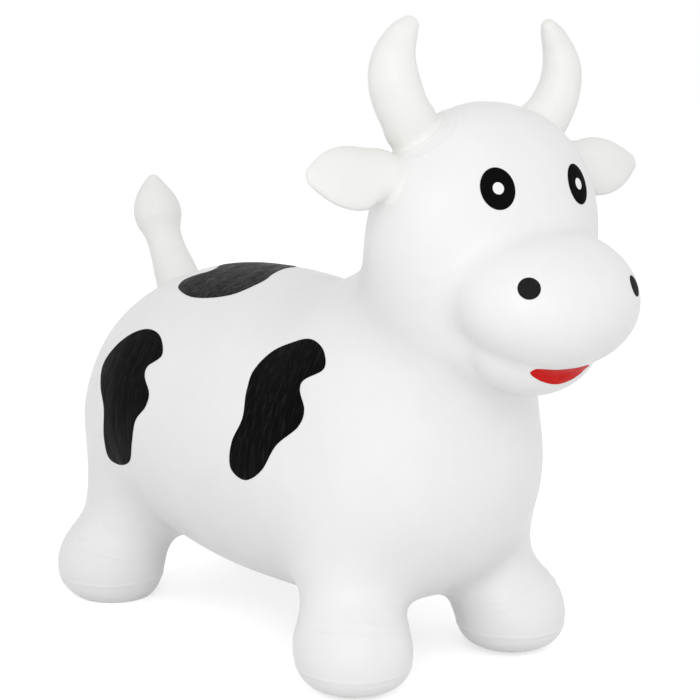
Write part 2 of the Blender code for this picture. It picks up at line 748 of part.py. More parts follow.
def add_disc_print(name, centre, half_width, half_height, material, lift=GAP):
    """An oval film that follows the skin around a point, lifted clear of it."""
    out = Vector(outward(centre))
    place = oval_place(centre, out, (1, 0, 0), half_width, half_height)
    shape = bmesh.new()
    bmesh.ops.create_uvsphere(shape, u_segments=TURNED_SIDES, v_segments=PRINT_RINGS, radius=1)
    heights = [np.sign(round(vert.co.z, 3)) for vert in shape.verts]
    flat = np.array([place @ Vector((vert.co.x, vert.co.y, 0.0)) for vert in shape.verts])
    on_skin = traced_to_skin(flat + np.array(out) * half_width, -np.array(out))
    rise = lift + PRINT_THICKNESS * (1 + np.array(heights)) / 2
    raised = on_skin + outward(on_skin) * rise[:, None]
    for vert, spot in zip(shape.verts, raised):
        vert.co = spot
    return add_piece(name, shape, material)


def rounded_outline(points):
    """Points on a smooth closed curve through the given ones."""
    points = np.array(points)
    before, after, later = np.roll(points, 1, 0), np.roll(points, -1, 0), np.roll(points, -2, 0)
    curve = []
    for share in np.arange(OUTLINE_STEPS) / OUTLINE_STEPS:
        curve.append(
            points
            + (after - before) * share / 2
            + (2 * before - 5 * points + 4 * after - later) * share**2 / 2
            + (3 * points - before - 3 * after + later) * share**3 / 2
        )
    return np.stack(curve, axis=1).reshape(-1, points.shape[1])


def lifted_patch(facets, outline, inward):
    """A thin slab that lies along the skin's own facets, over all of them that an outline touches."""
    flat = np.eye(3) - np.outer(inward, inward)
    low, high = (outline @ flat).min(0), (outline @ flat).max(0)
    shape = bmesh.new()
    shape.from_mesh(facets)
    centres = np.array([face.calc_center_median() for face in shape.faces])
    in_front = traced_to_skin(centres - HEAD_REACH * inward, inward)
    seen = np.linalg.norm(in_front - centres, axis=1) < HEAD_FACET
    far = []
    for face, first in zip(shape.faces, seen):
        corners = np.array([vert.co for vert in face.verts]) @ flat
        apart = (corners.min(0) > high).any() or (corners.max(0) < low).any()
        if apart or not first or np.array(face.normal) @ inward > 0.0:
            far.append(face)
    bmesh.ops.delete(shape, geom=far, context="FACES")
    lower = list(shape.verts)
    points = np.array([vert.co for vert in lower])
    away = outward(points)
    rim = [edge for edge in shape.edges if edge.is_boundary]
    pair = bmesh.ops.duplicate(shape, geom=lower + list(shape.edges) + list(shape.faces))["vert_map"]
    for vert, spot, direction in zip(lower, points, away):
        vert.co = spot + direction * GAP
        pair[vert].co = spot + direction * (GAP + PRINT_THICKNESS)
    for edge in rim:
        first, second = edge.verts
        shape.faces.new((first, second, pair[second], pair[first]))
    bmesh.ops.recalc_face_normals(shape, faces=shape.faces)
    return shape


def add_outline_print(name, facets, outline, material, inward):
    """A film on the skin inside an outline, seen along one direction. The outline's points are in space."""
    outline = np.array(outline)
    inward = np.array(inward, dtype=float)
    shape = lifted_patch(facets, outline, inward)
    depths = np.array([vert.co for vert in shape.verts]) @ inward
    piece = add_piece(name, shape, material)
    prism = bmesh.new()
    start = depths.min() - CUT_OVERRUN
    length = depths.max() + CUT_OVERRUN - start
    corners = [prism.verts.new(point + inward * (start - point @ inward)) for point in outline]
    base = prism.faces.new(corners)
    grown = bmesh.ops.extrude_face_region(prism, geom=[base])
    moved = [vert for vert in grown["geom"] if isinstance(vert, bmesh.types.BMVert)]
    bmesh.ops.translate(prism, verts=moved, vec=Vector(inward) * length)
    bmesh.ops.recalc_face_normals(prism, faces=prism.faces)
    cut(piece, add_cutter(f"{name}_outline", prism), "INTERSECT")


def add_face_prints(facets, black, white, red):
    """Two eyes with a white dot each, two nostrils and the mouth."""
    front = MUZZLE_Y - 2 * MUZZLE_HALF_LENGTH
    for side_name, side in SIDES.items():
        eye = traced_to_skin(np.array((side * EYE_X, front, EYE_Z)), (0, 1, 0))
        add_disc_print(f"eye_{side_name}", eye, EYE_HALF_WIDTH, EYE_HALF_HEIGHT, black)
        lift = 2 * GAP + PRINT_THICKNESS
        add_disc_print(f"eye_dot_{side_name}", eye, EYE_DOT_RADIUS, EYE_DOT_RADIUS, white, lift)
        height = NOSTRIL_Z - side * NOSTRIL_RISE
        nostril = traced_to_skin(np.array((MUZZLE_PRINT_X + side * NOSTRIL_X, front, height)), (0, 1, 0))
        add_disc_print(f"nostril_{side_name}", nostril, NOSTRIL_RADIUS, NOSTRIL_RADIUS, black)
    bow = [
        (
            MUZZLE_PRINT_X - MOUTH_HALF_WIDTH * math.cos(angle),
            front,
            MOUTH_TOP_Z - MOUTH_DEPTH * math.sin(angle),
        )
        for angle in np.linspace(0.0, math.pi, TURNED_SIDES // 2)
    ]
    add_outline_print("mouth", facets, bow, red, (0, 1, 0))


def add_body_prints(facets, material):
    """A spot at the shoulder and one at the haunch on each side, and one across the back."""
    flank_spots = {
        "front": (FRONT_SPOT_Y, FRONT_SPOT_Z, FRONT_SPOT_LENGTH, FRONT_SPOT_HEIGHT, FRONT_SPOT_SHARES),
        "rear": (REAR_SPOT_Y, REAR_SPOT_Z, REAR_SPOT_LENGTH, REAR_SPOT_HEIGHT, REAR_SPOT_SHARES),
    }
    for side_name, side in SIDES.items():
        for end, (start_y, start_z, length, height, shares) in flank_spots.items():
            points = [
                (side * 2 * RUMP_HALF_WIDTH, start_y + length * along, start_z + height * up)
                for along, up in shares
            ]
            name = f"spot_flank_{end}_{side_name}"
            add_outline_print(name, facets, rounded_outline(points), material, (-side, 0, 0))
    above = RUMP_Z + 2 * RUMP_HALF_HEIGHT
    points = [
        (TOP_SPOT_X + TOP_SPOT_WIDTH * across, TOP_SPOT_Y + TOP_SPOT_LENGTH * along, above)
        for across, along in TOP_SPOT_SHARES
    ]
    add_outline_print("spot_top", facets, rounded_outline(points), material, (0, 0, -1))


def add_skin(material, sole_material):
    """The wall of the trunk, the head, and each leg with its foot."""
    torso_facets = body_mesh(TORSO_FACET)
    torso = add_piece("torso_skin", walled(torso_facets), material)
    head_facets = body_mesh(HEAD_FACET, with_creases=True)
    head = add_piece("head_skin", walled(head_facets), material)
    plane = neck_cut()
    cut(torso, add_cutter("torso_neck_cut", block_beyond(*plane, HEAD_REACH, -GAP / 2)))
    cut(head, add_cutter("head_neck_cut", block_beyond(*plane, HEAD_REACH, GAP / 2)), "INTERSECT")
    limbs = walled(body_mesh(LIMB_FACET))
    ankle = Vector((0.0, 0.0, ANKLE_Z))
    for side_name, side in SIDES.items():
        for end, foot in foot_centres().items():
            corner = f"{end}_{side_name}"
            plane = leg_cut(end, side)
            cut(torso, add_cutter(f"torso_leg_cut_{corner}", block_beyond(*plane, LEG_REACH, -GAP / 2)))
            whole = add_piece(f"limb_{corner}", limbs.copy(), material)
            cutter = add_cutter(f"limb_cut_{corner}", block_beyond(*plane, LEG_REACH, GAP / 2))
            cut(whole, cutter, "INTERSECT")
            limb = finished_mesh(whole)
            for helper in (whole, cutter):
                bpy.data.objects.remove(helper, do_unlink=True)
            foot = Vector(foot) * Vector((side, 1, 1))
            parts = (("leg", 1, plane[0], material), ("foot", -1, foot, sole_material))
            for name, up, origin, colour in parts:
                shape = bmesh.new()
                shape.from_mesh(limb)
                piece = add_piece(f"{name}_{corner}", shape, colour, origin)
                block = block_beyond(ankle, Vector((0, 0, up)), HEAD_REACH, GAP / 2)
                cut(piece, add_cutter(f"{name}_cut_{corner}", block), "INTERSECT")
            bpy.data.meshes.remove(limb)
    limbs.free()
    return torso, head, torso_facets, head_facets


def centre_assembly():
    """Hang every object on one empty, which puts the middle of the cow's length over the origin."""
    pieces = list(bpy.data.objects)
    frame = bpy.data.objects.new("cow", None)
    bpy.context.scene.collection.objects.link(frame)
    shown = [piece for piece in pieces if not piece.hide_render]
    places = [piece.location.y + vert.co.y for piece in shown for vert in piece.data.vertices]
    frame.location.y = -(min(places) + max(places)) / 2
    for piece in pieces:
        piece.parent = frame


def main():
    """Build every piece of the cow."""
    clear_scene()
    skin = make_material("warm_white_vinyl", *VINYL_LOOK)
    sole = make_material("warm_white_vinyl_foot", *FOOT_LOOK)
    ivory = make_material("ivory_vinyl", *IVORY_LOOK)
    collar = make_material("clear_grey_vinyl", *COLLAR_LOOK)
    plug = make_material("white_plug", *PLUG_LOOK)
    black = make_material("black_ink", *BLACK_LOOK)
    white = make_material("white_ink", *WHITE_LOOK)
    red = make_material("red_ink", *RED_LOOK)
    torso, head, torso_facets, head_facets = add_skin(skin, sole)
    add_horns(head, ivory)
    add_ears(head, ivory)
    add_tail(torso, ivory)
    add_valve(torso, collar, plug)
    add_face_prints(head_facets, black, white, red)
    add_body_prints(torso_facets, black)
    for facets in (torso_facets, head_facets):
        bpy.data.meshes.remove(facets)
    centre_assembly()


main()
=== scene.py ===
"""Looks of an inflatable ride on cow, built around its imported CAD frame.

The cow faces -Y, its left side is +X, and it stands on z = 0. Lengths are in metres.
The skin is the surface where skin_distance is zero, the same rounded shapes as the CAD part has.
"""

import math

import bmesh
import bpy
import numpy as np
from bpy.props import FloatProperty, FloatVectorProperty, PointerProperty
from mathutils import Matrix, Vector


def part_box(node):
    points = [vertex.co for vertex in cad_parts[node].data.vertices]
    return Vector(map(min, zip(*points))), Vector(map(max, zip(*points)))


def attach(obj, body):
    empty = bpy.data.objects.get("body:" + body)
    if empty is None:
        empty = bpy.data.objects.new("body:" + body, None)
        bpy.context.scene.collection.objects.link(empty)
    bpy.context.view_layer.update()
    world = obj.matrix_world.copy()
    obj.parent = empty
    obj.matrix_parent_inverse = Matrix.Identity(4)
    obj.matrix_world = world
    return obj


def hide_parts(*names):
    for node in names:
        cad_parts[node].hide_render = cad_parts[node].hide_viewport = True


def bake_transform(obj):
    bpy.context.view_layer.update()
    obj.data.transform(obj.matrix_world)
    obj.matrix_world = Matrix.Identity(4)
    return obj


bl_info = {
    "name": "Ride on cow",
    "version": (1, 0, 0),
    "blender": (4, 5, 0),
    "location": "3D View > Sidebar > Hopper",
    "description": "Skin, horns, ears, tail, prints and air valve of an inflatable ride on cow",
    "category": "Object",
}

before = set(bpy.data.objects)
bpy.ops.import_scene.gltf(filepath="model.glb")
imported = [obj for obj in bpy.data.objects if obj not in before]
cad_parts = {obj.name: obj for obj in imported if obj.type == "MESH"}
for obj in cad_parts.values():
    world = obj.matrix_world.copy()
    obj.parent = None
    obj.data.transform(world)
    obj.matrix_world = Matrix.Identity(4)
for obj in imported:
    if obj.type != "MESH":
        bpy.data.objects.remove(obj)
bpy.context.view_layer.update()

SIDES = {"left": 1, "right": -1}
CORNERS = {f"{end}_{side}": (end, side) for end in ("front", "rear") for side in SIDES}
TINY = 1e-9
SLOPE_STEP = 0.0001
WELD = 1e-6
SLIVER = 1e-7
# Steps of a line traced to the skin, their share of the distance to it, and halvings of a limb's curve
TRACE_STEPS, TRACE_SHARE, HALVINGS = 70, 0.8, 50

# Rounded shapes of the skin: centre, half sizes and tilt about X
TRUNK_BALLS = {
    "rump": ((0.0, 0.1535, 0.1900), (0.1365, 0.1390, 0.1180), 0.0),
    "chest": ((0.0, -0.0550, 0.1685), (0.1285, 0.1440, 0.1225), 0.0),
    "belly": ((0.0, 0.0670, 0.1760), (0.1145, 0.1265, 0.1115), 0.0),
}
HEAD_BALLS = {
    "head": ((0.0, -0.1800, 0.3740), (0.1040, 0.0675, 0.0940), 0.0),
    "muzzle": ((0.0, -0.2470, 0.3225), (0.0795, 0.0640, 0.0525), math.radians(20)),
    "lip": ((0.0, -0.2358, 0.2890), (0.0590, 0.0410, 0.0430), 0.0),
}
# Start, end and the two radii of each cone
NECK_CONE = ((0.0, -0.0950, 0.2505), (0.0, -0.1605, 0.3110), 0.0855, 0.0770)
LEG_CONES = {
    "front": ((0.0690, -0.0960, 0.1480), (0.0925, -0.1120, 0.0405), 0.0255, 0.0320),
    "rear": ((0.0670, 0.2035, 0.1580), (0.0955, 0.2180, 0.0310), 0.0460, 0.0405),
}
FOOT_CENTRES = {"front": (0.0870, -0.1255, 0.0305), "rear": (0.0995, 0.2295, 0.0305)}
FOOT_HALF_SIZES = (0.0470, 0.0470, 0.0458)
# Widths over which the shapes run into each other, and where along Y the lip's widens to the throat's
TORSO_BLEND = 0.0910
NECK_BLEND = 0.0560
LEG_BLEND = 0.0435
FOOT_BLEND = 0.0185
MUZZLE_BLEND = 0.0130
LIP_BLEND = 0.0070
THROAT_BLEND = 0.0220
THROAT_START, THROAT_END = -0.2330, -0.2080
SOLE_BLEND = 0.0180

# Raw shapes of the skin, the first round's facet as a share of the last one's, and the evening of each
BALL_DIVISIONS = 5
CONE_SIDES = 48
ROUGH_FACET = 1.5
ROUGH_ROUNDS, FINE_ROUNDS = 8, 3
# Where facets are halved: half widths of the bands along the lines, and how far these reach
CREASE_BAND, CREASE_BACK_Y, CREASE_TOP_Z = 0.006, -0.16, 0.31
SEAM_BAND, SEAM_FROM_Z = 0.0045, 0.378
HORN_RING_BAND = 0.0040
SOLE_BAND = 0.0034
RING_LOW, RING_HIGH, RING_REACH = 0.0435, 0.0600, 0.0570
# A facet that matches the skin's slope less than this is turned over
TURNED_MATCH = 0.4
UNTANGLE_ROUNDS = 10

# Moulded lines: the seam over the head, the rings round the horns and the ankles, and the line by each sole
SEAM_Y, SEAM_WIDTH = -0.1740, 0.0015
SEAM_FADE = (0.380, 0.400)
HORN_FOOT = (0.0650, -0.1701, 0.4461)
HORN_RING_RADIUS, HORN_RING_WIDTH = 0.0345, 0.0014
LOW_RING_Z, HIGH_RING_Z, RING_WIDTH = 0.0480, 0.0560, 0.0013
HIGH_RING_SHARE = 0.8
# Height, number and start of the waves round an ankle
RING_WAVES = ((0.0006, 3, 1), (0.0003, 7, 0))
RING_FADE = (0.0560, 0.0500)
RING_SHARES = {"front": 1.0, "rear": 0.55}
# The turn at which the rings are clearest, and what is left of them opposite
RING_FACING, RING_FAINTEST = -0.89, 0.3
SOLE_LINE_Z, SOLE_LINE_SHARE = 0.0200, 0.5

# Planes that part the head and the legs from the torso
NECK_POINT = (0.0, -0.0700, 0.2980)
NECK_LEAN = math.radians(23.5)
NECK_REACH = 0.35
LEG_SHARE = 0.56
LEG_LEAN = math.radians(37)
LEG_TURN = math.radians(33)
LEG_REACH = 0.0950
# A border is drawn to its plane where that is less than this share of a facet, and the skin this steep to it
BORDER_SHARE, BORDER_STEEP = 0.45, 0.3

# Horns, tail and ears: centre line, radius along it, and how it meets the skin
HORN_LINE = (
    (0.0532, -0.1680, 0.4335), (0.1009, -0.1779, 0.4780), (0.0946, -0.1687, 0.5020), (0.0718, -0.1731, 0.5276)
)
HORN_STATION_SHARES = (0.0, 0.2, 0.4, 0.6, 0.8, 0.92, 1.0)
HORN_RADIUS_SHARES = (1.0, 0.84, 0.755, 0.672, 0.510, 0.391, 0.248)
HORN_OVAL_SHARE = 0.170
HORN_OVAL_TURN = math.radians(43)
TAIL_LINE = ((0.0, 0.2400, 0.2730), (0.0, 0.2700, 0.3180), (0.0, 0.2915, 0.3500), (0.0, 0.2933, 0.3878))
TAIL_STATION_SHARES = (0.0, 0.2, 0.35, 0.5, 0.64, 0.78, 0.9, 1.0)
TAIL_RADIUS_SHARES = (1.0, 0.93, 0.81, 0.80, 1.03, 0.97, 0.66, 0.26)
EAR_TIP = (0.1722, -0.1768, 0.4164)
EAR_TURN = math.radians(-2)
EAR_RISE = math.radians(3.5)
EAR_ROLL = math.radians(-20)
EAR_STATION_SHARES = (0.0, 0.16, 0.32, 0.48, 0.64, 0.79, 0.91, 1.0)
EAR_HEIGHT_SHARES = (0.76, 0.87, 0.97, 0.99, 0.90, 0.71, 0.46, 0.24)
EAR_THICKNESS_SHARES = (1.35, 1.10, 1.0, 0.90, 0.80, 0.66, 0.50, 0.28)
EAR_BEND = 0.03
CURVE_RINGS, EAR_RINGS, TIP_RINGS = 60, 50, 6
LIMB_AROUND = 56
ROOT_DEPTH = 0.004
# Rings at a limb's root: how far beyond the fillet, at what share of the collar's height, and how much higher
FLARE_FOOT = (
    (0.0016, 0.0, -ROOT_DEPTH), (0.0016, 0.0, -0.0006), (0.0011, 0.5, 0.0), (0.0004, 1.0, 0.0),
    (-0.0005, 0.9, 0.0),
)
FLARE_TURNS = np.radians((15, 30, 45, 60, 75))
# Share of a curve over which its direction is taken
CURVE_AHEAD = 0.1

# Prints are traced to the skin from planes ahead of the cow, beside it and above it
AHEAD_Y = -0.4
BESIDE_X = 0.27
ABOVE_Z = 0.42
FILM_FACET = 0.0025
FILM_RINGS = 6
# Points between two of an outline's corners
MOUTH_STEPS, SPOT_STEPS = 8, 10
# Half the distance between the eyes or nostrils, their shift along X, their height, and the left one's rise
EYE_PLACE = (0.0424, 0.0, 0.4058, 0.0)
NOSTRIL_PLACE = (0.0502, -0.0062, 0.3350, -0.0024)
EYE_AROUND = 72
EYE_AWAY = 0.02
# How many lifts a print and the dot on an eye stand off the skin
FIRST_LIFT, DOT_LIFT = 1, 4
# The corner that the mouth's outline starts from, the share seen from every edge, and the outline
MOUTH_CORNER = (-0.0344, 0.2596)
MOUTH_HEART = (0.55, 0.60)
MOUTH_SHARES = (
    (0.007, 0.96), (0.010, 1.12), (0.030, 1.23), (0.09, 1.23), (0.163, 1.19), (0.305, 1.11), (0.447, 1.10),
    (0.618, 1.10), (0.731, 1.13), (0.822, 1.15), (0.91, 1.12), (0.965, 1.03), (0.975, 0.98), (0.965, 0.90),
    (0.936, 0.76), (0.903, 0.50), (0.816, 0.26), (0.72, 0.09), (0.56, -0.04), (0.45, 0.0), (0.343, 0.11),
    (0.217, 0.32), (0.121, 0.55), (0.052, 0.75),
)
# Spots: the corner their outline starts from, their size, the share seen from every edge, and the outline
SPOTS = {
    "front": ((-0.1013, 0.1635), (0.0800, 0.1154), (0.60, 0.70), (
        (0.35, 1.0), (0.10, 0.95), (0.0, 0.83), (0.20, 0.74), (0.21, 0.67), (0.09, 0.55), (0.12, 0.43),
        (0.34, 0.29), (0.50, 0.10), (0.75, 0.0), (0.97, 0.06), (0.98, 0.24), (0.89, 0.42), (0.96, 0.60),
        (0.99, 0.74), (0.87, 0.87), (0.63, 0.95),
    )),
    "rear": ((0.0904, 0.1437), (0.0912, 0.1223), (0.50, 0.68), (
        (0.43, 1.0), (0.17, 0.97), (0.0, 0.86), (0.14, 0.77), (0.13, 0.70), (0.0, 0.60), (0.02, 0.50),
        (0.16, 0.39), (0.24, 0.22), (0.35, 0.07), (0.60, 0.0), (0.83, 0.02), (0.84, 0.16), (0.78, 0.40),
        (0.93, 0.56), (1.0, 0.69), (0.89, 0.82), (0.68, 0.94),
    )),
    "top": ((-0.0810, 0.0596), (0.1170, 0.1004), (0.48, 0.45), (
        (0.06, 0.80), (0.0, 0.51), (0.04, 0.23), (0.15, 0.04), (0.35, 0.0), (0.51, 0.09), (0.69, 0.20),
        (0.89, 0.33), (1.0, 0.62), (0.94, 0.80), (0.80, 0.93), (0.66, 1.0), (0.53, 0.93), (0.42, 0.82),
        (0.34, 0.81), (0.24, 0.91), (0.16, 0.92),
    )),
}

VALVE_AROUND = 48
VALVE_CREASE = math.radians(50)
FILM_CREASE = math.radians(60)
# The air hole: how many edges, its play round the collar, and the radii within which faces are cut
HOLE_SIDES, HOLE_PLAY, HOLE_BAND = 32, 0.0001, 1.6

# Colour sockets of a Mix node
MIX_FIRST, MIX_SECOND, MIX_RESULT = 6, 7, 2
VINYL_SHEEN = {"IOR": 1.5, "Specular IOR Level": 0.25, "Coat Weight": 0.04, "Coat Roughness": 0.30}
INK_TURN = (math.radians(38), 0.0, 0.0)
WHITE = (1.0, 1.0, 1.0, 1.0)
FLOOR_HALF = 12
FLOOR_FINISH = {
    "Base Color": (0.76, 0.76, 0.76, 1.0),
    "Roughness": 0.9,
    "Specular IOR Level": 0.1,
    "Emission Color": WHITE,
}
SENSOR_WIDTH = 36.0
CLIP_START, CLIP_END = 0.05, 60.0
# Each lamp's setting for its power, and its turn from the camera and its rise in degrees
LAMPS = {
    "front_lamp": ("front_lamp", 0.0, 20.0),
    "side_lamp_left": ("side_lamps", 75.0, 25.0),
    "side_lamp_right": ("side_lamps", -85.0, 25.0),
}


def length_setting(name, description, default, **limits):
    """A setting that is a length."""
    return FloatProperty(name=name, description=description, default=default, unit="LENGTH", **limits)


def colour_setting(name, description, default):
    """A setting that is a colour."""
    return FloatVectorProperty(name=name, description=description, default=default, subtype="COLOR")


def number_setting(name, description, default, **more):
    """A setting that is an angle or a plain number."""
    return FloatProperty(name=name, description=description, default=default, **more)


class SkinSettings(bpy.types.PropertyGroup):
    """Sizes of the moulded skin."""

    facet: length_setting("Facet", "Edge length of the skin's facets", 0.0036, min=0.002)
    wall: length_setting("Wall", "Thickness of the vinyl", 0.0015, min=0.0005)
    ring_height: length_setting("Ankle ring", "Height of the moulded rings above the feet", 0.0006)
    seam_height: length_setting("Mould seam", "Height of the seam over the head", 0.0005)


class LimbSettings(bpy.types.PropertyGroup):
    """Sizes of the horns, ears and tail."""

    horn_radius: length_setting("Horn radius", "Radius at the horn's root", 0.0227)
    tail_radius: length_setting("Tail radius", "Radius at the tail's root", 0.0222)
    ear_height: length_setting("Ear height", "Half of the ear's height", 0.0250)
    ear_thickness: length_setting("Ear thickness", "Half of the ear's thickness", 0.0105)
    horn_fillet: length_setting("Horn fillet", "Rounding where a horn meets the head", 0.0050)
    ear_fillet: length_setting("Ear fillet", "Rounding where an ear meets the head", 0.0060)
    tail_fillet: length_setting("Tail fillet", "Rounding where the tail meets the rump", 0.0050)
    collar: length_setting("Collar", "Height of the ring round a horn's root", 0.0007)


class ValveSettings(bpy.types.PropertyGroup):
    """Sizes of the air valve in the belly."""

    bore: length_setting("Bore", "Radius of the air hole", 0.0043)
    flange: length_setting("Flange", "Height of the collar's flange", 0.0030)
    rounding: length_setting("Rounding", "Rounding of the valve's edges", 0.0006)
    gap: length_setting("Gap", "Play between the plug and the collar", 0.0003)


class PrintSettings(bpy.types.PropertyGroup):
    """Sizes of the ink prints."""

    lift: length_setting("Lift", "Height of a print's underside above the skin", 0.0001)
    thickness: length_setting("Film", "Thickness of the ink film", 0.0002)
    eye_width: length_setting("Eye width", "Half of an eye's width", 0.0142)
    eye_height: length_setting("Eye height", "Half of an eye's height", 0.0160)
    dot_radius: length_setting("Eye dot", "Radius of the white dot in an eye", 0.0045)
    nostril_radius: length_setting("Nostril", "Radius of a nostril", 0.0083)
    mouth_width: length_setting("Mouth width", "Half of the mouth's width", 0.0282)
    mouth_depth: length_setting("Mouth depth", "Height of the mouth", 0.0118)


class FinishSettings(bpy.types.PropertyGroup):
    """Colours of the vinyl and the inks."""

    vinyl: colour_setting("Vinyl", "Colour of the body", (0.828, 0.828, 0.826))
    ivory: colour_setting("Horn vinyl", "Colour of the horns, ears and tail", (0.828, 0.828, 0.808))
    black: colour_setting("Black ink", "Colour of the spots and eyes", (0.0024, 0.0024, 0.0026))
    # Pale black: in the streaks of the spots and eyes it is painted highlight; it is also the nostrils' own
    # ink
    pale_black: colour_setting(
        "Pale black ink", "Colour of the streaks in the spots", (0.017, 0.017, 0.018)
    )
    # Grey streaks: on the spot on the back they are painted sheen where it faces the light above; the
    # nostrils' streaks share this grey
    grey: colour_setting("Grey streak ink", "Colour of the streaks in the spot on the back", (0.050, 0.050, 0.052))
    white: colour_setting("White ink", "Colour of the dots in the eyes", (0.85, 0.85, 0.85))
    red: colour_setting("Red ink", "Colour of the mouth", (0.60, 0.012, 0.011))
    # Paler red streaks in the mouth are painted highlight
    red_streak_highlight: colour_setting("Red streak highlight ink", "Colour of the streaks in the mouth", (0.66, 0.024, 0.022))
    collar: colour_setting("Collar", "Colour of the valve's collar", (0.70, 0.71, 0.70))
    plug: colour_setting("Plug", "Colour of the air plug", (0.82, 0.82, 0.81))
    roughness: number_setting("Roughness", "Roughness of the vinyl", 0.40, min=0.0, max=1.0)


class StageSettings(bpy.types.PropertyGroup):
    """Camera and studio light."""

    azimuth: number_setting(
        "Azimuth", "Turn of the camera from the front towards the cow's right side", 0.6846, unit="ROTATION"
    )
    elevation: number_setting("Elevation", "Angle of the camera above the ground", 0.1579, unit="ROTATION")
    distance: length_setting("Distance", "From the camera to its target", 1.5206)
    target: FloatVectorProperty(
        name="Target", description="The point the camera looks at", default=(0.0, -0.0129, 0.2534),
        subtype="TRANSLATION",
    )
    lens: number_setting("Lens", "Focal length in millimetres", 90.67)
    lamp_size: length_setting("Lamp size", "Edge length of each square lamp", 1.6)
    lamp_distance: length_setting("Lamp distance", "From each lamp to the cow", 2.2)
    front_lamp: number_setting("Front lamp", "Power of the lamp above the camera in watts", 16.5)
    side_lamps: number_setting("Side lamps", "Power of each lamp beside the cow in watts", 2.8)
    sky: number_setting("Sky", "Strength of the light from all around", 0.72)
    floor_glow: number_setting("Floor glow", "Light that the floor gives off by itself", 0.04)
    floor_white: number_setting("Floor white", "How much the floor is lightened for the camera", 0.53)


def blended(first, second, width):
    """The lesser of two distances, rounded over this width where they are alike."""
    near = np.maximum(width - np.abs(first - second), 0.0) / width
    return np.minimum(first, second) - near * near * width / 4


def ball_distance(points, centre, half_sizes, tilt=0.0):
    """Distance of points from a stretched ball."""
    local = points - np.array(centre)
    if tilt:
        cosine, sine = math.cos(tilt), math.sin(tilt)
        along = cosine * local[..., 1] + sine * local[..., 2]
        up = cosine * local[..., 2] - sine * local[..., 1]
        local = np.stack([local[..., 0], along, up], axis=-1)
    half = np.array(half_sizes)
    outer = np.sqrt(((local / half) ** 2).sum(-1)) + TINY
    steep = np.sqrt(((local / half**2) ** 2).sum(-1)) + TINY
    return outer * (outer - 1) / steep


def cone_distance(points, start, end, start_radius, end_radius):
    """Distance of points from a round ended cone."""
    start = np.array(start)
    line = np.array(end) - start
    share = np.clip(((points - start) @ line) / (line @ line), 0.0, 1.0)
    from_line = np.linalg.norm(points - start - share[..., None] * line, axis=-1)
    return from_line - (start_radius + (end_radius - start_radius) * share)


def hump(value, middle, width):
    """One at the middle value and near nothing a width away from it."""
    return np.exp(-(((value - middle) / width) ** 2))


def step(value, start, end):
    """Nothing before start, one after end, and smooth between them."""
    share = np.clip((value - start) / (end - start), 0.0, 1.0)
    return share * share * (3 - 2 * share)


def on_left(points):
    """Points with those on the cow's right side mirrored to its left."""
    return np.stack([np.abs(points[..., 0]), points[..., 1], points[..., 2]], axis=-1)


def along_leg(points, end):
    """How high points lie along a left leg, which leans outwards, how far from its axis, and at what turn."""
    (x, y, _), (start, stop, _, _) = FOOT_CENTRES[end], LEG_CONES[end]
    lean = (np.array(start) - np.array(stop)) / (start[2] - stop[2])
    side, depth = points[..., 0] - x, points[..., 1] - y
    return points[..., 2] + lean[0] * side + lean[1] * depth, np.hypot(side, depth), np.arctan2(depth, side)


def relief(points):
    """Height of the moulded rings and seams above the smooth skin of the cow's left half."""
    skin = bpy.context.scene.skin_settings
    height = points[..., 2]
    seam = hump(points[..., 1], SEAM_Y, SEAM_WIDTH) * step(height, *SEAM_FADE)
    from_horn = np.linalg.norm(points - np.array(HORN_FOOT), axis=-1)
    raised = skin.seam_height * (seam + hump(from_horn, HORN_RING_RADIUS, HORN_RING_WIDTH))
    for end in FOOT_CENTRES:
        place, aside, turn = along_leg(points, end)
        wave = sum(size * np.sin(count * turn + start) for size, count, start in RING_WAVES)
        low_ring = hump(place, LOW_RING_Z + wave, RING_WIDTH)
        high_ring = HIGH_RING_SHARE * hump(place, HIGH_RING_Z - wave, RING_WIDTH)
        clear = RING_FAINTEST + (1 - RING_FAINTEST) * (0.5 + 0.5 * np.cos(turn - RING_FACING)) ** 2
        rings = (low_ring + high_ring) * RING_SHARES[end] * clear
        sole = SOLE_LINE_SHARE * hump(height, SOLE_LINE_Z + wave, RING_WIDTH)
        raised = raised + skin.ring_height * (rings * step(aside, *RING_FADE) + sole)
    return raised


def skin_distance(points, with_relief=False):
    """Distance of points from the outer skin, less than zero inside. Both sides of the cow are alike."""
    even = on_left(points)
    rump, chest, belly = (ball_distance(even, *ball) for ball in TRUNK_BALLS.values())
    head, muzzle, lip = (ball_distance(even, *ball) for ball in HEAD_BALLS.values())
    trunk = blended(blended(rump, chest, TORSO_BLEND), belly, TORSO_BLEND)
    face = blended(head, cone_distance(even, *NECK_CONE), NECK_BLEND)
    body = blended(trunk, face, NECK_BLEND)
    for end, cone in LEG_CONES.items():
        foot = ball_distance(even, FOOT_CENTRES[end], FOOT_HALF_SIZES)
        foot = -blended(-foot, even[..., 2], SOLE_BLEND)
        leg = blended(cone_distance(even, *cone), foot, FOOT_BLEND)
        body = blended(body, leg, LEG_BLEND)
    soft = LIP_BLEND + (THROAT_BLEND - LIP_BLEND) * step(even[..., 1], THROAT_START, THROAT_END)
    body = blended(blended(body, muzzle, MUZZLE_BLEND), lip, soft)
    return body - relief(even) if with_relief else body


def skin_slope(points, with_relief):
    """How the distance changes along X, Y and Z."""
    changes = []
    for away in np.eye(3) * SLOPE_STEP:
        changes.append(skin_distance(points + away, with_relief) - skin_distance(points - away, with_relief))
    return np.stack(changes, axis=-1) / (2 * SLOPE_STEP)


def outward(points, with_relief=False):
    """Unit directions out of the skin."""
    slope = skin_slope(points, with_relief)
    return slope / np.linalg.norm(slope, axis=-1, keepdims=True)


def drawn_to_skin(points, with_relief=False):
    """Points moved square to the skin until they lie on it."""
    slope = skin_slope(points, with_relief)
    share = skin_distance(points, with_relief) / ((slope**2).sum(-1) + TINY)
    return points - share[..., None] * slope


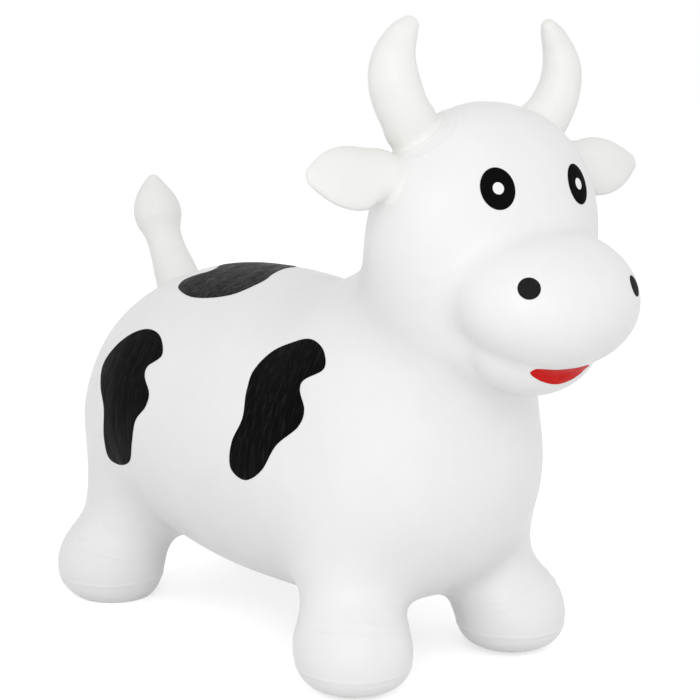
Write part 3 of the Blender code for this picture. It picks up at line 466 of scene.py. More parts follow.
def traced_to_skin(points, direction):
    """Where lines from outside points along one direction first meet the skin."""
    direction = np.array(direction) / np.linalg.norm(direction)
    for _ in range(TRACE_STEPS):
        points = points + (TRACE_SHARE * skin_distance(points))[..., None] * direction
    return points


def mesh_values(items, key, kind, width):
    """One property of all vertices, edges or faces of a mesh, with a row for each."""
    values = np.empty(len(items) * width, dtype=kind)
    items.foreach_get(key, values)
    return values.reshape(-1, width)


def evened(mesh, facet, rounds):
    """The mesh remeshed in even facets, which are evened out further on the smooth skin."""
    rough = bpy.data.objects.new("rough_skin", mesh)
    bpy.context.scene.collection.objects.link(rough)
    remesh = rough.modifiers.new("even_facets", "REMESH")
    remesh.mode = "VOXEL"
    remesh.voxel_size = facet
    even = bpy.data.meshes.new_from_object(rough.evaluated_get(bpy.context.evaluated_depsgraph_get()))
    bpy.data.objects.remove(rough, do_unlink=True)
    bpy.data.meshes.remove(mesh)
    points = mesh_values(even.vertices, "co", float, 3)
    first, last = mesh_values(even.edges, "vertices", int, 2).T
    count = len(points)
    neighbours = (np.bincount(first, minlength=count) + np.bincount(last, minlength=count))[:, None]
    for _ in range(rounds):
        sums = np.zeros_like(points)
        for axis in range(3):
            sums[:, axis] = np.bincount(first, points[last, axis], count)
            sums[:, axis] += np.bincount(last, points[first, axis], count)
        points = drawn_to_skin((points + sums / neighbours) / 2)
    even.vertices.foreach_set("co", drawn_to_skin(points).ravel())
    return even


def skin_shape():
    """The whole skin in even facets: overlapping shapes are remeshed, then drawn to the skin."""
    skin = bpy.context.scene.skin_settings
    shape = bmesh.new()
    balls = [*TRUNK_BALLS.values(), *HEAD_BALLS.values()]
    cones = [NECK_CONE]
    for end, (start, stop, start_radius, stop_radius) in LEG_CONES.items():
        for side in SIDES.values():
            mirror = Vector((side, 1, 1))
            cones.append((Vector(start) * mirror, Vector(stop) * mirror, start_radius, stop_radius))
            foot = Vector(FOOT_CENTRES[end]) * mirror
            balls.append((foot, (FOOT_HALF_SIZES[0], FOOT_HALF_SIZES[1], foot.z), 0.0))
    for centre, half, tilt in balls:
        place = Matrix.Translation(centre) @ Matrix.Rotation(tilt, 4, "X") @ Matrix.Diagonal((*half, 1))
        bmesh.ops.create_icosphere(shape, subdivisions=BALL_DIVISIONS, radius=1, matrix=place)
    for start, stop, start_radius, stop_radius in cones:
        line = Vector(stop) - Vector(start)
        turn = line.to_track_quat("Z", "Y").to_matrix().to_4x4()
        bmesh.ops.create_cone(
            shape, cap_ends=True, segments=CONE_SIDES, radius1=start_radius, radius2=stop_radius,
            depth=line.length, matrix=Matrix.Translation(Vector(start) + line / 2) @ turn,
        )
    mesh = bpy.data.meshes.new("rough_skin")
    shape.to_mesh(mesh)
    shape.free()
    mesh = evened(mesh, skin.facet * ROUGH_FACET, ROUGH_ROUNDS)
    mesh = evened(mesh, skin.facet, FINE_ROUNDS)
    shape = bmesh.new()
    shape.from_mesh(mesh)
    bpy.data.meshes.remove(mesh)
    return shape


def vert_places(verts):
    """Where vertices are, as an array."""
    return np.array([vert.co.to_tuple() for vert in verts])


def face_middles(faces):
    """The middle of each face."""
    return np.array([face.calc_center_median().to_tuple() for face in faces])


def move(verts, places):
    """Put each vertex in its place."""
    for vert, place in zip(verts, places):
        vert.co = place


def in_order(items):
    """Vertices or faces in the order of the mesh."""
    return sorted(items, key=lambda item: item.index)


def faces_of(parts):
    """The faces among parts of a mesh."""
    return [part for part in parts if isinstance(part, bmesh.types.BMFace)]


def near_rings(points):
    """Whether points lie by the moulded rings round the ankles."""
    near = np.zeros(len(points), dtype=bool)
    for end in FOOT_CENTRES:
        place, aside, _ = along_leg(on_left(points), end)
        near |= (place > RING_LOW) & (place < RING_HIGH) & (aside < RING_REACH)
    return near


def near_sole_lines(points):
    """Whether points lie by the lines round the soles."""
    return np.abs(points[:, 2] - SOLE_LINE_Z) < SOLE_BAND


def near_head_seams(points):
    """Whether points lie by the seam over the head or the rings round the horns."""
    from_horn = np.linalg.norm(on_left(points) - np.array(HORN_FOOT), axis=1)
    seam = (np.abs(points[:, 1] - SEAM_Y) < SEAM_BAND) & (points[:, 2] > SEAM_FROM_Z)
    return seam | (np.abs(from_horn - HORN_RING_RADIUS) < HORN_RING_BAND)


def near_lip_crease(points):
    """Whether points lie where the lip runs into the muzzle or the throat."""
    lip = ball_distance(points, *HEAD_BALLS["lip"])
    muzzle = ball_distance(points, *HEAD_BALLS["muzzle"])
    chest = ball_distance(points, *TRUNK_BALLS["chest"])
    throat = blended(cone_distance(points, *NECK_CONE), chest, NECK_BLEND)
    near = np.abs(lip - np.minimum(muzzle, throat)) < CREASE_BAND
    return near & (points[:, 1] < CREASE_BACK_Y) & (points[:, 2] < CREASE_TOP_Z)


def refine(shape, near):
    """Halve the edges whose middles are near a line."""
    shape.verts.index_update()
    places = vert_places(shape.verts)
    ends = np.array([(edge.verts[0].index, edge.verts[1].index) for edge in shape.edges])
    edges = [edge for edge, chosen in zip(shape.edges, near(places[ends].mean(1))) if chosen]
    bmesh.ops.subdivide_edges(shape, edges=edges, cuts=1, use_grid_fill=True)


def settle(shape):
    """Draw every vertex to the skin with its rings and seams."""
    points = vert_places(shape.verts)
    for _ in range(3):
        points = drawn_to_skin(points, with_relief=True)
    points[:, 2] = np.maximum(points[:, 2], 0.0)
    move(shape.verts, points)


def untangle(shape):
    """Smooth the few facets that the creases have turned over, and draw them to the skin again."""
    faces = list(shape.faces)
    for _ in range(UNTANGLE_ROUNDS):
        shape.normal_update()
        normals = np.array([face.normal.to_tuple() for face in faces])
        matches = (normals * outward(face_middles(faces))).sum(1)
        turned = {face for face, match in zip(faces, matches) if match < TURNED_MATCH}
        if not turned:
            return
        verts = {vert for face in turned for vert in face.verts}
        verts |= {edge.other_vert(vert) for vert in verts for edge in vert.link_edges}
        shape.verts.index_update()
        shape.faces.index_update()
        verts = in_order(verts)
        faces = in_order({face for vert in verts for face in vert.link_faces})
        bmesh.ops.smooth_vert(
            shape, verts=verts, factor=0.5, use_axis_x=True, use_axis_y=True, use_axis_z=True
        )
        places = drawn_to_skin(vert_places(verts), with_relief=True)
        move(verts, drawn_to_skin(places, with_relief=True))


def mark_beyond(shape, zone, number, point, normal, reach):
    """Mark the faces beyond a plane within reach of a point on it, and draw their border to the plane."""
    point, normal = np.array(point), np.array(normal)
    facet = bpy.context.scene.skin_settings.facet
    local = face_middles(shape.faces) - point
    depth = local @ normal
    beyond = (np.linalg.norm(local - depth[:, None] * normal, axis=1) < reach) & (depth > 0)
    for face, inside in zip(shape.faces, beyond & (depth < 2 * reach)):
        if inside:
            face[zone] = number
    border = set()
    for face, near in zip(shape.faces, beyond & (depth < 2 * facet)):
        if near:
            for edge in face.edges:
                if any(other[zone] != number for other in edge.link_faces):
                    border.update(edge.verts)
    border = in_order(border)
    places = vert_places(border)
    out = outward(places, with_relief=True)
    along = normal - (out @ normal)[:, None] * out
    moves = -along * ((places - point) @ normal / ((along @ normal) + TINY))[:, None]
    small = (np.linalg.norm(moves, axis=1) < facet * BORDER_SHARE) & (along @ normal > BORDER_STEEP)
    move(border, drawn_to_skin(places + moves * small[:, None], with_relief=True))


def leg_plane(corner):
    """A point on the plane that parts a leg from the torso, and the plane's normal towards the foot."""
    end, side_name = CORNERS[corner]
    side = SIDES[side_name]
    start, stop = (Vector(point) for point in LEG_CONES[end][:2])
    point = start.lerp(stop, LEG_SHARE) * Vector((side, 1, 1))
    forward = -1 if end == "front" else 1
    normal = Vector((
        side * math.sin(LEG_LEAN) * math.cos(LEG_TURN),
        forward * math.sin(LEG_LEAN) * math.sin(LEG_TURN),
        -math.cos(LEG_LEAN),
    ))
    return point, normal


def zone_of(shape, number):
    """A copy of the shape with only one zone's faces."""
    part = shape.copy()
    layer = part.faces.layers.int["zone"]
    bmesh.ops.delete(part, geom=[face for face in part.faces if face[layer] != number], context="FACES")
    loose = [vert for vert in part.verts if not vert.link_faces]
    bmesh.ops.delete(part, geom=loose, context="VERTS")
    part.faces.layers.int.remove(part.faces.layers.int["zone"])
    return part


def open_hole(shape, centre, radius):
    """Cut a round hole through the skin about a vertical line, in short straight edges."""
    centre = Vector(centre)
    middles = face_middles(shape.faces) - np.array(centre)
    near = np.linalg.norm(middles, axis=1) < radius * HOLE_BAND
    faces = [face for face, inside in zip(shape.faces, near) if inside]
    edges = dict.fromkeys(edge for face in faces for edge in face.edges)
    verts = dict.fromkeys(vert for face in faces for vert in face.verts)
    cut = [*verts, *edges, *faces]
    for index in range(HOLE_SIDES):
        angle = math.tau * index / HOLE_SIDES
        out = Vector((math.cos(angle), math.sin(angle), 0.0))
        cut = bmesh.ops.bisect_plane(
            shape, geom=cut, dist=SLIVER, plane_co=centre + out * radius, plane_no=out
        )["geom"]
    inside = []
    for face in faces_of(cut):
        place = face.calc_center_median() - centre
        angle = math.atan2(place.y, place.x)
        nearest = round(angle / math.tau * HOLE_SIDES) * math.tau / HOLE_SIDES
        if math.hypot(place.x, place.y) * math.cos(angle - nearest) < radius:
            inside.append(face)
    bmesh.ops.delete(shape, geom=inside, context="FACES")


def give_wall(shape, wall):
    """Turn an open skin into a closed wall. Faces get 1 outside, -1 inside and 0 on the rims."""
    layer = shape.faces.layers.int.new("shell")
    outer = list(shape.faces)
    for face in outer:
        face[layer] = 1
    rim = [edge for edge in shape.edges if edge.is_boundary]
    points = vert_places(shape.verts)
    inner_places = dict(zip(shape.verts, points - wall * outward(points)))
    copy = bmesh.ops.duplicate(shape, geom=[*shape.verts, *shape.edges, *outer])
    for vert, place in inner_places.items():
        copy["vert_map"][vert].co = place
    inner_faces = faces_of(copy["geom"])
    bmesh.ops.reverse_faces(shape, faces=inner_faces)
    for face in inner_faces:
        face[layer] = -1
    grown = bmesh.ops.extrude_edge_only(shape, edges=rim)["geom"]
    new_verts = [vert for vert in grown if isinstance(vert, bmesh.types.BMVert)]
    points = vert_places(new_verts)
    move(new_verts, points - wall * outward(points))
    rim_faces = faces_of(grown)
    for face in rim_faces:
        face[layer] = 0
    if rim and not rim[0].is_contiguous:
        bmesh.ops.reverse_faces(shape, faces=rim_faces)
    inner_rim = dict.fromkeys(copy["vert_map"][vert] for edge in rim for vert in edge.verts)
    bmesh.ops.remove_doubles(shape, verts=[*inner_rim, *new_verts], dist=WELD)


def add_object(name, shape, material):
    """A piece whose place is in its mesh."""
    mesh = bpy.data.meshes.new(name)
    shape.to_mesh(mesh)
    shape.free()
    mesh.shade_smooth()
    mesh.materials.append(material)
    piece = bpy.data.objects.new(name, mesh)
    bpy.context.scene.collection.objects.link(piece)
    return piece


def add_shell(name, shape):
    """A walled piece of the skin, shaded by the skin's own slope so that zones meet without a line."""
    give_wall(shape, bpy.context.scene.skin_settings.wall)
    piece = add_object(name, shape, finish_named("warm_white_vinyl"))
    mesh = piece.data
    out = outward(mesh_values(mesh.vertices, "co", float, 3), with_relief=True)
    shell = mesh_values(mesh.attributes["shell"].data, "value", np.int32, 1)
    flat = mesh_values(mesh.polygons, "normal", float, 3)
    sizes = mesh_values(mesh.polygons, "loop_total", int, 1).ravel()
    corners = mesh_values(mesh.loops, "vertex_index", int, 1).ravel()
    owner = np.repeat(np.arange(len(sizes)), sizes)
    normals = np.where(shell[owner] == 0, flat[owner], out[corners] * shell[owner])
    mesh.normals_split_custom_set(normals.tolist())
    mesh.attributes.remove(mesh.attributes["shell"])
    return piece


def wrapped(rows):
    """A closed surface through rows of points that run round it. End rows may lie in one point."""
    rows = np.asarray(rows)
    count, around = rows.shape[:2]
    shape = bmesh.new()
    bmesh.ops.create_grid(shape, x_segments=around, y_segments=count - 1, size=1)
    move(shape.verts, np.concatenate([rows, rows[:, :1]], axis=1).reshape(-1, 3))
    bmesh.ops.remove_doubles(shape, verts=shape.verts, dist=WELD)
    bmesh.ops.recalc_face_normals(shape, faces=shape.faces)
    return shape


def rounded_outline(points, steps):
    """Points on a smooth closed curve through the given ones."""
    points = np.array(points)
    before, after, later = np.roll(points, 1, 0), np.roll(points, -1, 0), np.roll(points, -2, 0)
    curve = []
    for share in np.arange(steps) / steps:
        curve.append(
            points
            + (after - before) * share / 2
            + (2 * before - 5 * points + 4 * after - later) * share**2 / 2
            + (3 * points - before - 3 * after + later) * share**3 / 2
        )
    return np.stack(curve, axis=1).reshape(-1, points.shape[1])


def add_film(node, outline, heart, inward, finish, lifts=FIRST_LIFT):
    """A film of ink on the skin inside an outline, which is seen whole from its heart."""
    prints = bpy.context.scene.print_settings
    lift = lifts * prints.lift
    outline, heart = np.array(outline, dtype=float), np.array(heart, dtype=float)
    reach = np.linalg.norm(outline - heart, axis=1).max()
    shares = np.linspace(0.0, 1.0, max(FILM_RINGS, int(reach / FILM_FACET)) + 1)
    flat = heart + shares[:, None, None] * (outline - heart)
    on_skin = traced_to_skin(flat, inward)
    out = outward(on_skin)
    top = on_skin + out * (lift + prints.thickness)
    edge = on_skin[-1] + out[-1] * (lift + prints.thickness / 2)
    middle = on_skin[-1].mean(0)
    edge = edge + (edge - middle) / np.linalg.norm(edge - middle, axis=1)[:, None] * prints.thickness / 2
    bottom = on_skin + out * lift
    rows = np.concatenate([top, edge[None], bottom[::-1]])
    film = add_object(f"ink_{node}", wrapped(rows), finish_named(finish))
    film.data.set_sharp_from_angle(angle=FILM_CREASE)
    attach(film, "skin")
    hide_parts(node)


def along_curve(shares, controls):
    """Points on the smooth curve with these four control points."""
    share = np.asarray(shares, dtype=float)[..., None]
    start, low, high, stop = (np.array(point) for point in controls)
    rest = 1 - share
    return rest**3 * start + 3 * rest**2 * share * low + 3 * rest * share**2 * high + share**3 * stop


def root_share(controls):
    """The share of a curve at which it leaves the skin."""
    low, high = 0.0, 1.0
    for _ in range(HALVINGS):
        middle = (low + high) / 2
        if skin_distance(along_curve(middle, controls)) < 0.0:
            low = middle
        else:
            high = middle
    return high


def smooth_through(value, stations, shares):
    """A smooth curve through a table."""
    stations, shares = np.array(stations), np.array(shares)
    slopes = np.gradient(shares, stations)
    index = np.clip(np.searchsorted(stations, value) - 1, 0, len(stations) - 2)
    width = stations[index + 1] - stations[index]
    part = np.clip((value - stations[index]) / width, 0.0, 1.0)
    first, last = shares[index], shares[index + 1]
    return (
        first * (1 + 2 * part) * (1 - part) ** 2
        + slopes[index] * width * part * (1 - part) ** 2
        + last * part**2 * (3 - 2 * part)
        + slopes[index + 1] * width * part**2 * (part - 1)
    )


def oval(centre, axis, across, half_across, half_other, around=LIMB_AROUND):
    """Points round an oval that is square to an axis."""
    axis = axis / np.linalg.norm(axis)
    across = across - axis * (across @ axis)
    across = across / np.linalg.norm(across)
    other = np.cross(axis, across)
    turns = np.linspace(0.0, math.tau, around, endpoint=False)[:, None]
    return centre + np.cos(turns) * across * half_across + np.sin(turns) * other * half_other


def oval_over_skin(hinge, out, across, half_across, half_other, height):
    """Points round an oval about a hinge, laid at one height over the skin."""
    on_skin = drawn_to_skin(drawn_to_skin(oval(hinge, out, across, half_across, half_other)))
    return on_skin + outward(on_skin) * height


def limb_rows(centres, axes, across, half_sizes, fillet, collar):
    """Rows of points for a limb that flares out onto the skin at its root."""
    hinge, out = centres[0], outward(centres[0])
    root_across, root_other = half_sizes[0]
    flare = [(fillet + beyond, collar * share + rise) for beyond, share, rise in FLARE_FOOT]
    for angle in FLARE_TURNS:
        flare.append((fillet * (1 - math.sin(angle)), fillet * (1 - math.cos(angle)) + collar * 0.5))
    rows = [np.repeat((hinge - out * ROOT_DEPTH)[None], LIMB_AROUND, axis=0)]
    for reach, height in flare:
        rows.append(oval_over_skin(hinge, out, across, root_across + reach, root_other + reach, height))
    lengths = np.concatenate([[0.0], np.cumsum(np.linalg.norm(np.diff(centres, axis=0), axis=1))])
    for centre, axis, (half_across, half_other), length in zip(centres, axes, half_sizes, lengths):
        if length >= fillet:
            free = step(length, 0.0, 4 * fillet)
            near = oval_over_skin(hinge, out, across, half_across, half_other, length)
            far = oval(centre, axis, across, half_across, half_other)
            rows.append(near * (1 - free) + far * free)
    centre, axis = centres[-1], axes[-1] / np.linalg.norm(axes[-1])
    narrowing = (half_sizes[-2][0] - half_sizes[-1][0]) / (lengths[-1] - lengths[-2])
    first = math.atan(max(narrowing, 0.0))
    half_across, half_other = half_sizes[-1] / math.cos(first)
    for angle in np.linspace(first, math.pi / 2, TIP_RINGS + 2)[1:-1]:
        rise = half_other * (math.sin(angle) - math.sin(first))
        shrunk = half_across * math.cos(angle), half_other * math.cos(angle)
        rows.append(oval(centre + axis * rise, axis, across, *shrunk))
    tip = centre + axis * half_other * (1 - math.sin(first))
    rows.append(np.repeat(tip[None], LIMB_AROUND, axis=0))
    return rows


def curve_limb(controls, stations, shares, radius, across, oval_share, fillet, collar):
    """Rows of a round limb along a curve that starts inside the skin, and its centres."""
    start = root_share(controls)
    places = np.linspace(start, 1.0, CURVE_RINGS)
    centres = along_curve(places, controls)
    ahead = along_curve(np.minimum(places + CURVE_AHEAD, 1.0), controls)
    ahead = ahead - along_curve(places - CURVE_AHEAD, controls)
    ahead = ahead / np.linalg.norm(ahead, axis=1)[:, None]
    root = radius * smooth_through(start, stations, shares)
    bend = np.minimum(np.linalg.norm(centres - centres[0], axis=1) / (2 * root), 1.0)[:, None]
    axes = outward(centres[0]) * (1 - bend) + ahead * bend
    radii = radius * smooth_through(places, stations, shares)
    half_sizes = np.stack([radii * (1 + oval_share * bend[:, 0]), radii], axis=1)
    return limb_rows(centres, axes, np.array(across, dtype=float), half_sizes, fillet, collar), centres


def add_limb(name, node, rows):
    """A horn, ear or tail, which bends beyond its root."""
    limb = add_object(name, wrapped(rows), finish_named("ivory_vinyl"))
    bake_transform(limb)
    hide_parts(node)


class Finish:
    """A material under construction: nodes are added left to right and joined by name."""

    def __init__(self, name):
        self.material = bpy.data.materials.new(name)
        self.material.use_nodes = True
        self.tree = self.material.node_tree
        self.shader = self.tree.nodes["Principled BSDF"]
        self.place = self.add("ShaderNodeTexCoord").outputs["Object"]
        self.normal = None

    def add(self, kind, **settings):
        """A new node with these sockets and settings."""
        node = self.tree.nodes.new(kind)
        for key, value in settings.items():
            if key in node.inputs:
                node.inputs[key].default_value = value
            else:
                setattr(node, key, value)
        return node

    def join(self, output, socket):
        """Link an output to a socket."""
        self.tree.links.new(output, socket)

    def mapped(self, turn, stretch):
        """Object coordinates, turned and stretched."""
        node = self.add("ShaderNodeMapping", Rotation=turn, Scale=stretch)
        self.join(self.place, node.inputs["Vector"])
        return node.outputs["Vector"]

    def noise(self, scale, detail, rough=0.5, vector=None):
        """Noise over the piece."""
        node = self.add("ShaderNodeTexNoise", Scale=scale, Detail=detail, Roughness=rough)
        self.join(vector or self.place, node.inputs["Vector"])
        return node.outputs["Fac"]

    def ranged(self, value, low, high, start, end):
        """Low where a value is start, high where it is end."""
        node = self.add("ShaderNodeMapRange")
        for key, number in (("From Min", start), ("From Max", end), ("To Min", low), ("To Max", high)):
            node.inputs[key].default_value = number
        self.join(value, node.inputs["Value"])
        return node.outputs["Result"]

    def mixed(self, share, first, second):
        """A colour between two."""
        node = self.add("ShaderNodeMix", data_type="RGBA")
        node.inputs[MIX_FIRST].default_value = (*first, 1.0)
        node.inputs[MIX_SECOND].default_value = (*second, 1.0)
        self.join(share, node.inputs["Factor"])
        return node.outputs[MIX_RESULT]

    def bump(self, height, distance, strength):
        """Lay one more bump over those so far."""
        node = self.add("ShaderNodeBump", Strength=strength, Distance=distance)
        self.join(height, node.inputs["Height"])
        if self.normal:
            self.join(self.normal, node.inputs["Normal"])
        self.normal = node.outputs["Normal"]

    def done(self, colour, roughness, sheen):
        """The material, with everything joined to its shader."""
        self.join(colour, self.shader.inputs["Base Color"])
        self.join(roughness, self.shader.inputs["Roughness"])
        self.join(self.normal, self.shader.inputs["Normal"])
        for key, value in sheen.items():
            self.shader.inputs[key].default_value = value
        return self.material


def vinyl(name, colour, mottle):
    """Soft vinyl with faint clouds, stretch marks and a slightly uneven gloss."""
    finish = Finish(name)
    colour = np.array(colour)
    roughness = bpy.context.scene.finish_settings.roughness
    clouds = finish.ranged(finish.noise(14.0, 4.0, 0.6), 0.0, 1.0, 0.35, 0.65)
    tone = finish.mixed(clouds, colour * (1 - mottle), np.minimum(colour * (1 + mottle / 2), 1))
    gloss = finish.ranged(finish.noise(45.0, 3.0), roughness - 0.05, roughness + 0.07, 0.3, 0.7)
    marks = finish.noise(95.0, 3.0, 0.6, finish.mapped((0.35, 0.0, 0.0), (1.0, 2.4, 0.28)))
    finish.bump(finish.noise(30.0, 2.0), 0.0016, 0.35)
    finish.bump(marks, 0.00035, 0.5)
    finish.bump(finish.noise(900.0, 1.0), 0.00006, 0.5)
    return finish.done(tone, gloss, VINYL_SHEEN)


def ink(name, colour, streak_colour, shine, streak_from):
    """A printed film with fine bumped stretch streaks in a second colour. On the black and red inks the paler
    streak colour is painted highlight.
    """
    finish = Finish(name)
    fine = finish.noise(210.0, 3.0, 0.6, finish.mapped(INK_TURN, (1.0, 2.6, 0.16)))
    broad = finish.noise(60.0, 2.0, 0.5, finish.mapped(INK_TURN, (1.0, 2.2, 0.30)))
    tone = finish.mixed(finish.ranged(fine, 0.0, 1.0, streak_from, streak_from + 0.30), colour, streak_colour)
    gloss = finish.ranged(broad, 0.34, 0.56, 0.3, 0.7)
    finish.bump(finish.noise(30.0, 2.0), 0.0016, 0.30)
    finish.bump(broad, 0.0008, 0.5)
    finish.bump(fine, 0.0003, 0.6)
    return finish.done(tone, gloss, {"IOR": 1.5, "Specular IOR Level": shine})


def finish_named(name):
    """One of the part's finishes, made when it is first asked for."""
    if name in bpy.data.materials:
        return bpy.data.materials[name]
    colours = bpy.context.scene.finish_settings
    # Colour, and how much the clouds vary it
    vinyls = {
        "warm_white_vinyl": (colours.vinyl, 0.018),
        "ivory_vinyl": (colours.ivory, 0.03),
        "valve_vinyl": (colours.collar, 0.018),
        "plug_vinyl": (colours.plug, 0.018),
    }
    if name in vinyls:
        return vinyl(name, *vinyls[name])
    # Colour, colour of the streaks, shine, and the noise's value above which streaks show
    inks = {
        # The paler streak colours of the black and red inks are painted highlights
        "black_ink_film": (colours.black, colours.pale_black, 0.02, 0.50),
        # The spot on the back is painted paler all over, with more grey streaks, as painted sheen from the
        # light above
        "stretched_ink_film": (colours.black * 2, colours.grey, 0.03, 0.40),
        "eye_ink_film": (colours.black * 2, colours.pale_black, 0.005, 0.60),
        "nostril_ink_film": (colours.pale_black, colours.grey, 0.005, 0.60),
        "white_ink_film": (colours.white, colours.vinyl, 0.2, 0.50),
        "red_ink_film": (colours.red, colours.red_streak_highlight, 0.04, 0.50),
    }
    return ink(name, *inks[name])


def air_hole():
    """Where the valve's collar starts in the belly, half its width and its height."""
    low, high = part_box("valve_seat")
    return ((low.x + high.x) / 2, (low.y + high.y) / 2, low.z), (high.x - low.x) / 2, high.z - low.z


def add_turned(name, node, body, finish, centre, profile):
    """A piece of the valve, turned about its vertical line from its profile's radii and heights."""
    turns = np.linspace(0.0, math.tau, VALVE_AROUND, endpoint=False)
    rows = []
    for radius, height in profile:
        flat = [radius * np.cos(turns), radius * np.sin(turns), np.full(VALVE_AROUND, height)]
        rows.append(np.array(centre) + np.column_stack(flat))
    piece = add_object(name, wrapped(rows), finish_named(finish))
    piece.data.set_sharp_from_angle(angle=VALVE_CREASE)
    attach(piece, body)
    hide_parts(node)


class HOPPER_OT_skin(bpy.types.Operator):
    """Mould the skin of the torso, the head and the four legs"""

    bl_idname = "hopper.skin"
    bl_label = "Skin"

    def execute(self, context):
        shape = skin_shape()
        for near in (near_rings, near_sole_lines, near_head_seams, near_lip_crease):
            refine(shape, near)
        settle(shape)
        untangle(shape)
        shape.verts.index_update()
        zone = shape.faces.layers.int.new("zone")
        neck_normal = (0.0, -math.sin(NECK_LEAN), math.cos(NECK_LEAN))
        mark_beyond(shape, zone, 1, NECK_POINT, neck_normal, NECK_REACH)
        for number, corner in enumerate(CORNERS, 2):
            mark_beyond(shape, zone, number, *leg_plane(corner), LEG_REACH)
        zones = {"torso": zone_of(shape, 0), "head": zone_of(shape, 1)}
        centre, radius, _ = air_hole()
        open_hole(zones["torso"], centre, radius + HOLE_PLAY)
        for name, part in zones.items():
            piece = add_shell(f"skin_{name}", part)
            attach(piece, "skin")
            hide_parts(f"{name}_skin")
        for number, corner in enumerate(CORNERS, 2):
            limb = add_shell(f"limb_{corner}", zone_of(shape, number))
            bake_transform(limb)
            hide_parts(f"leg_{corner}", f"foot_{corner}")
        shape.free()
        return {"FINISHED"}


class HOPPER_OT_horns(bpy.types.Operator):
    """Mould the two horns that the rider holds"""

    bl_idname = "hopper.horns"
    bl_label = "Horns"

    def execute(self, context):
        limbs = context.scene.limb_settings
        for side_name, side in SIDES.items():
            mirror = np.array((side, 1, 1))
            controls = [np.array(point) * mirror for point in HORN_LINE]
            across = np.array((math.cos(HORN_OVAL_TURN), math.sin(HORN_OVAL_TURN), 0.0)) * mirror
            rows, centres = curve_limb(
                controls, HORN_STATION_SHARES, HORN_RADIUS_SHARES, limbs.horn_radius, across, HORN_OVAL_SHARE,
                limbs.horn_fillet, limbs.collar,
            )
            add_limb(f"grip_horn_{side_name}", f"horn_{side_name}", rows)
        return {"FINISHED"}


class HOPPER_OT_tail(bpy.types.Operator):
    """Mould the tail on the rump"""

    bl_idname = "hopper.tail"
    bl_label = "Tail"

    def execute(self, context):
        limbs = context.scene.limb_settings
        rows, centres = curve_limb(
            TAIL_LINE, TAIL_STATION_SHARES, TAIL_RADIUS_SHARES, limbs.tail_radius, (1.0, 0.0, 0.0), 0.0,
            limbs.tail_fillet, 0.0,
        )
        add_limb("tail_stalk_and_bulb", "tail", rows)
        return {"FINISHED"}


class HOPPER_OT_ears(bpy.types.Operator):
    """Mould the two ears"""

    bl_idname = "hopper.ears"
    bl_label = "Ears"

    def execute(self, context):
        limbs = context.scene.limb_settings
        level = math.cos(EAR_RISE)
        left_line = (level * math.cos(EAR_TURN), level * math.sin(EAR_TURN), math.sin(EAR_RISE))
        left_up = Matrix.Rotation(EAR_ROLL, 3, Vector(left_line)) @ Vector((0, 0, 1))
        shares = np.linspace(0.0, 1.0, EAR_RINGS)
        heights = limbs.ear_height * smooth_through(shares, EAR_STATION_SHARES, EAR_HEIGHT_SHARES)
        thick = limbs.ear_thickness * smooth_through(shares, EAR_STATION_SHARES, EAR_THICKNESS_SHARES)
        half_sizes = np.stack([heights, thick], axis=1)
        for side_name, side in SIDES.items():
            mirror = np.array((side, 1, 1))
            line, up, tip = (np.array(place) * mirror for place in (left_line, left_up, EAR_TIP))
            hinge = traced_to_skin(tip, -line)
            reach = np.linalg.norm(tip - hinge) * shares
            centres = hinge + line * reach[:, None]
            bend = np.minimum(reach / EAR_BEND, 1.0)[:, None]
            axes = outward(hinge) * (1 - bend) + line * bend
            rows = limb_rows(centres, axes, up, half_sizes, limbs.ear_fillet, 0.0)
            add_limb(f"flap_ear_{side_name}", f"ear_{side_name}", rows)
        return {"FINISHED"}


class HOPPER_OT_valve(bpy.types.Operator):
    """Turn the collar of the air hole and the plug pushed into it from below"""

    bl_idname = "hopper.valve"
    bl_label = "Air valve"

    def execute(self, context):
        valve = context.scene.valve_settings
        bore, soft, flange = valve.bore, valve.rounding, valve.flange
        hole, wide, tall = air_hole()
        # Up the bore's lower half, out over the grooved flange, up inside the belly and down the bore
        collar = (
            (bore, tall * 0.5), (bore, soft), (bore + soft * 0.3, soft * 0.3), (bore + soft, 0.0),
            (wide * 0.70, 0.0), (wide * 0.73, soft * 0.6), (wide * 0.78, soft * 0.6), (wide * 0.81, 0.0),
            (wide - soft, 0.0), (wide - soft * 0.3, soft * 0.3), (wide, soft), (wide, flange),
            (wide - soft, flange + soft), (bore + flange, flange + soft * 1.5),
            (bore + flange * 0.8, tall - soft), (bore + flange * 0.6, tall), (bore + soft, tall),
            (bore, tall - soft), (bore, tall * 0.5),
        )
        add_turned("air_valve_collar", "valve_seat", "skin", "valve_vinyl", hole, collar)
        low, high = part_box("valve_plug")
        base, top = low.z - hole[2], high.z - hole[2]
        wide, stem = (high.x - low.x) / 2, bore - valve.gap
        brim = -valve.gap
        thick = brim - base
        # From the dished underside round the grooved brim and up the stem with its neck
        knob = (
            (0.0, base + soft), (wide * 0.30, base + soft), (wide * 0.38, base + soft * 0.3),
            (wide * 0.46, base), (wide - soft, base), (wide - soft * 0.3, base + soft * 0.3),
            (wide, base + soft), (wide, base + thick * 0.45), (wide - soft * 0.5, base + thick * 0.5),
            (wide, base + thick * 0.6), (wide, brim - soft * 0.5), (wide - soft * 0.5, brim),
            (stem + soft, brim), (stem, brim + soft), (stem, top * 0.40), (stem - soft * 0.6, top * 0.45),
            (stem - soft * 0.6, top * 0.55), (stem, top * 0.60), (stem * 0.9, top * 0.80),
            (stem * 0.85, top - soft), (stem * 0.85 - soft, top), (0.0, top),
        )
        add_turned("air_valve_plug", "valve_plug", "valve_plug", "plug_vinyl", hole, knob)
        return {"FINISHED"}


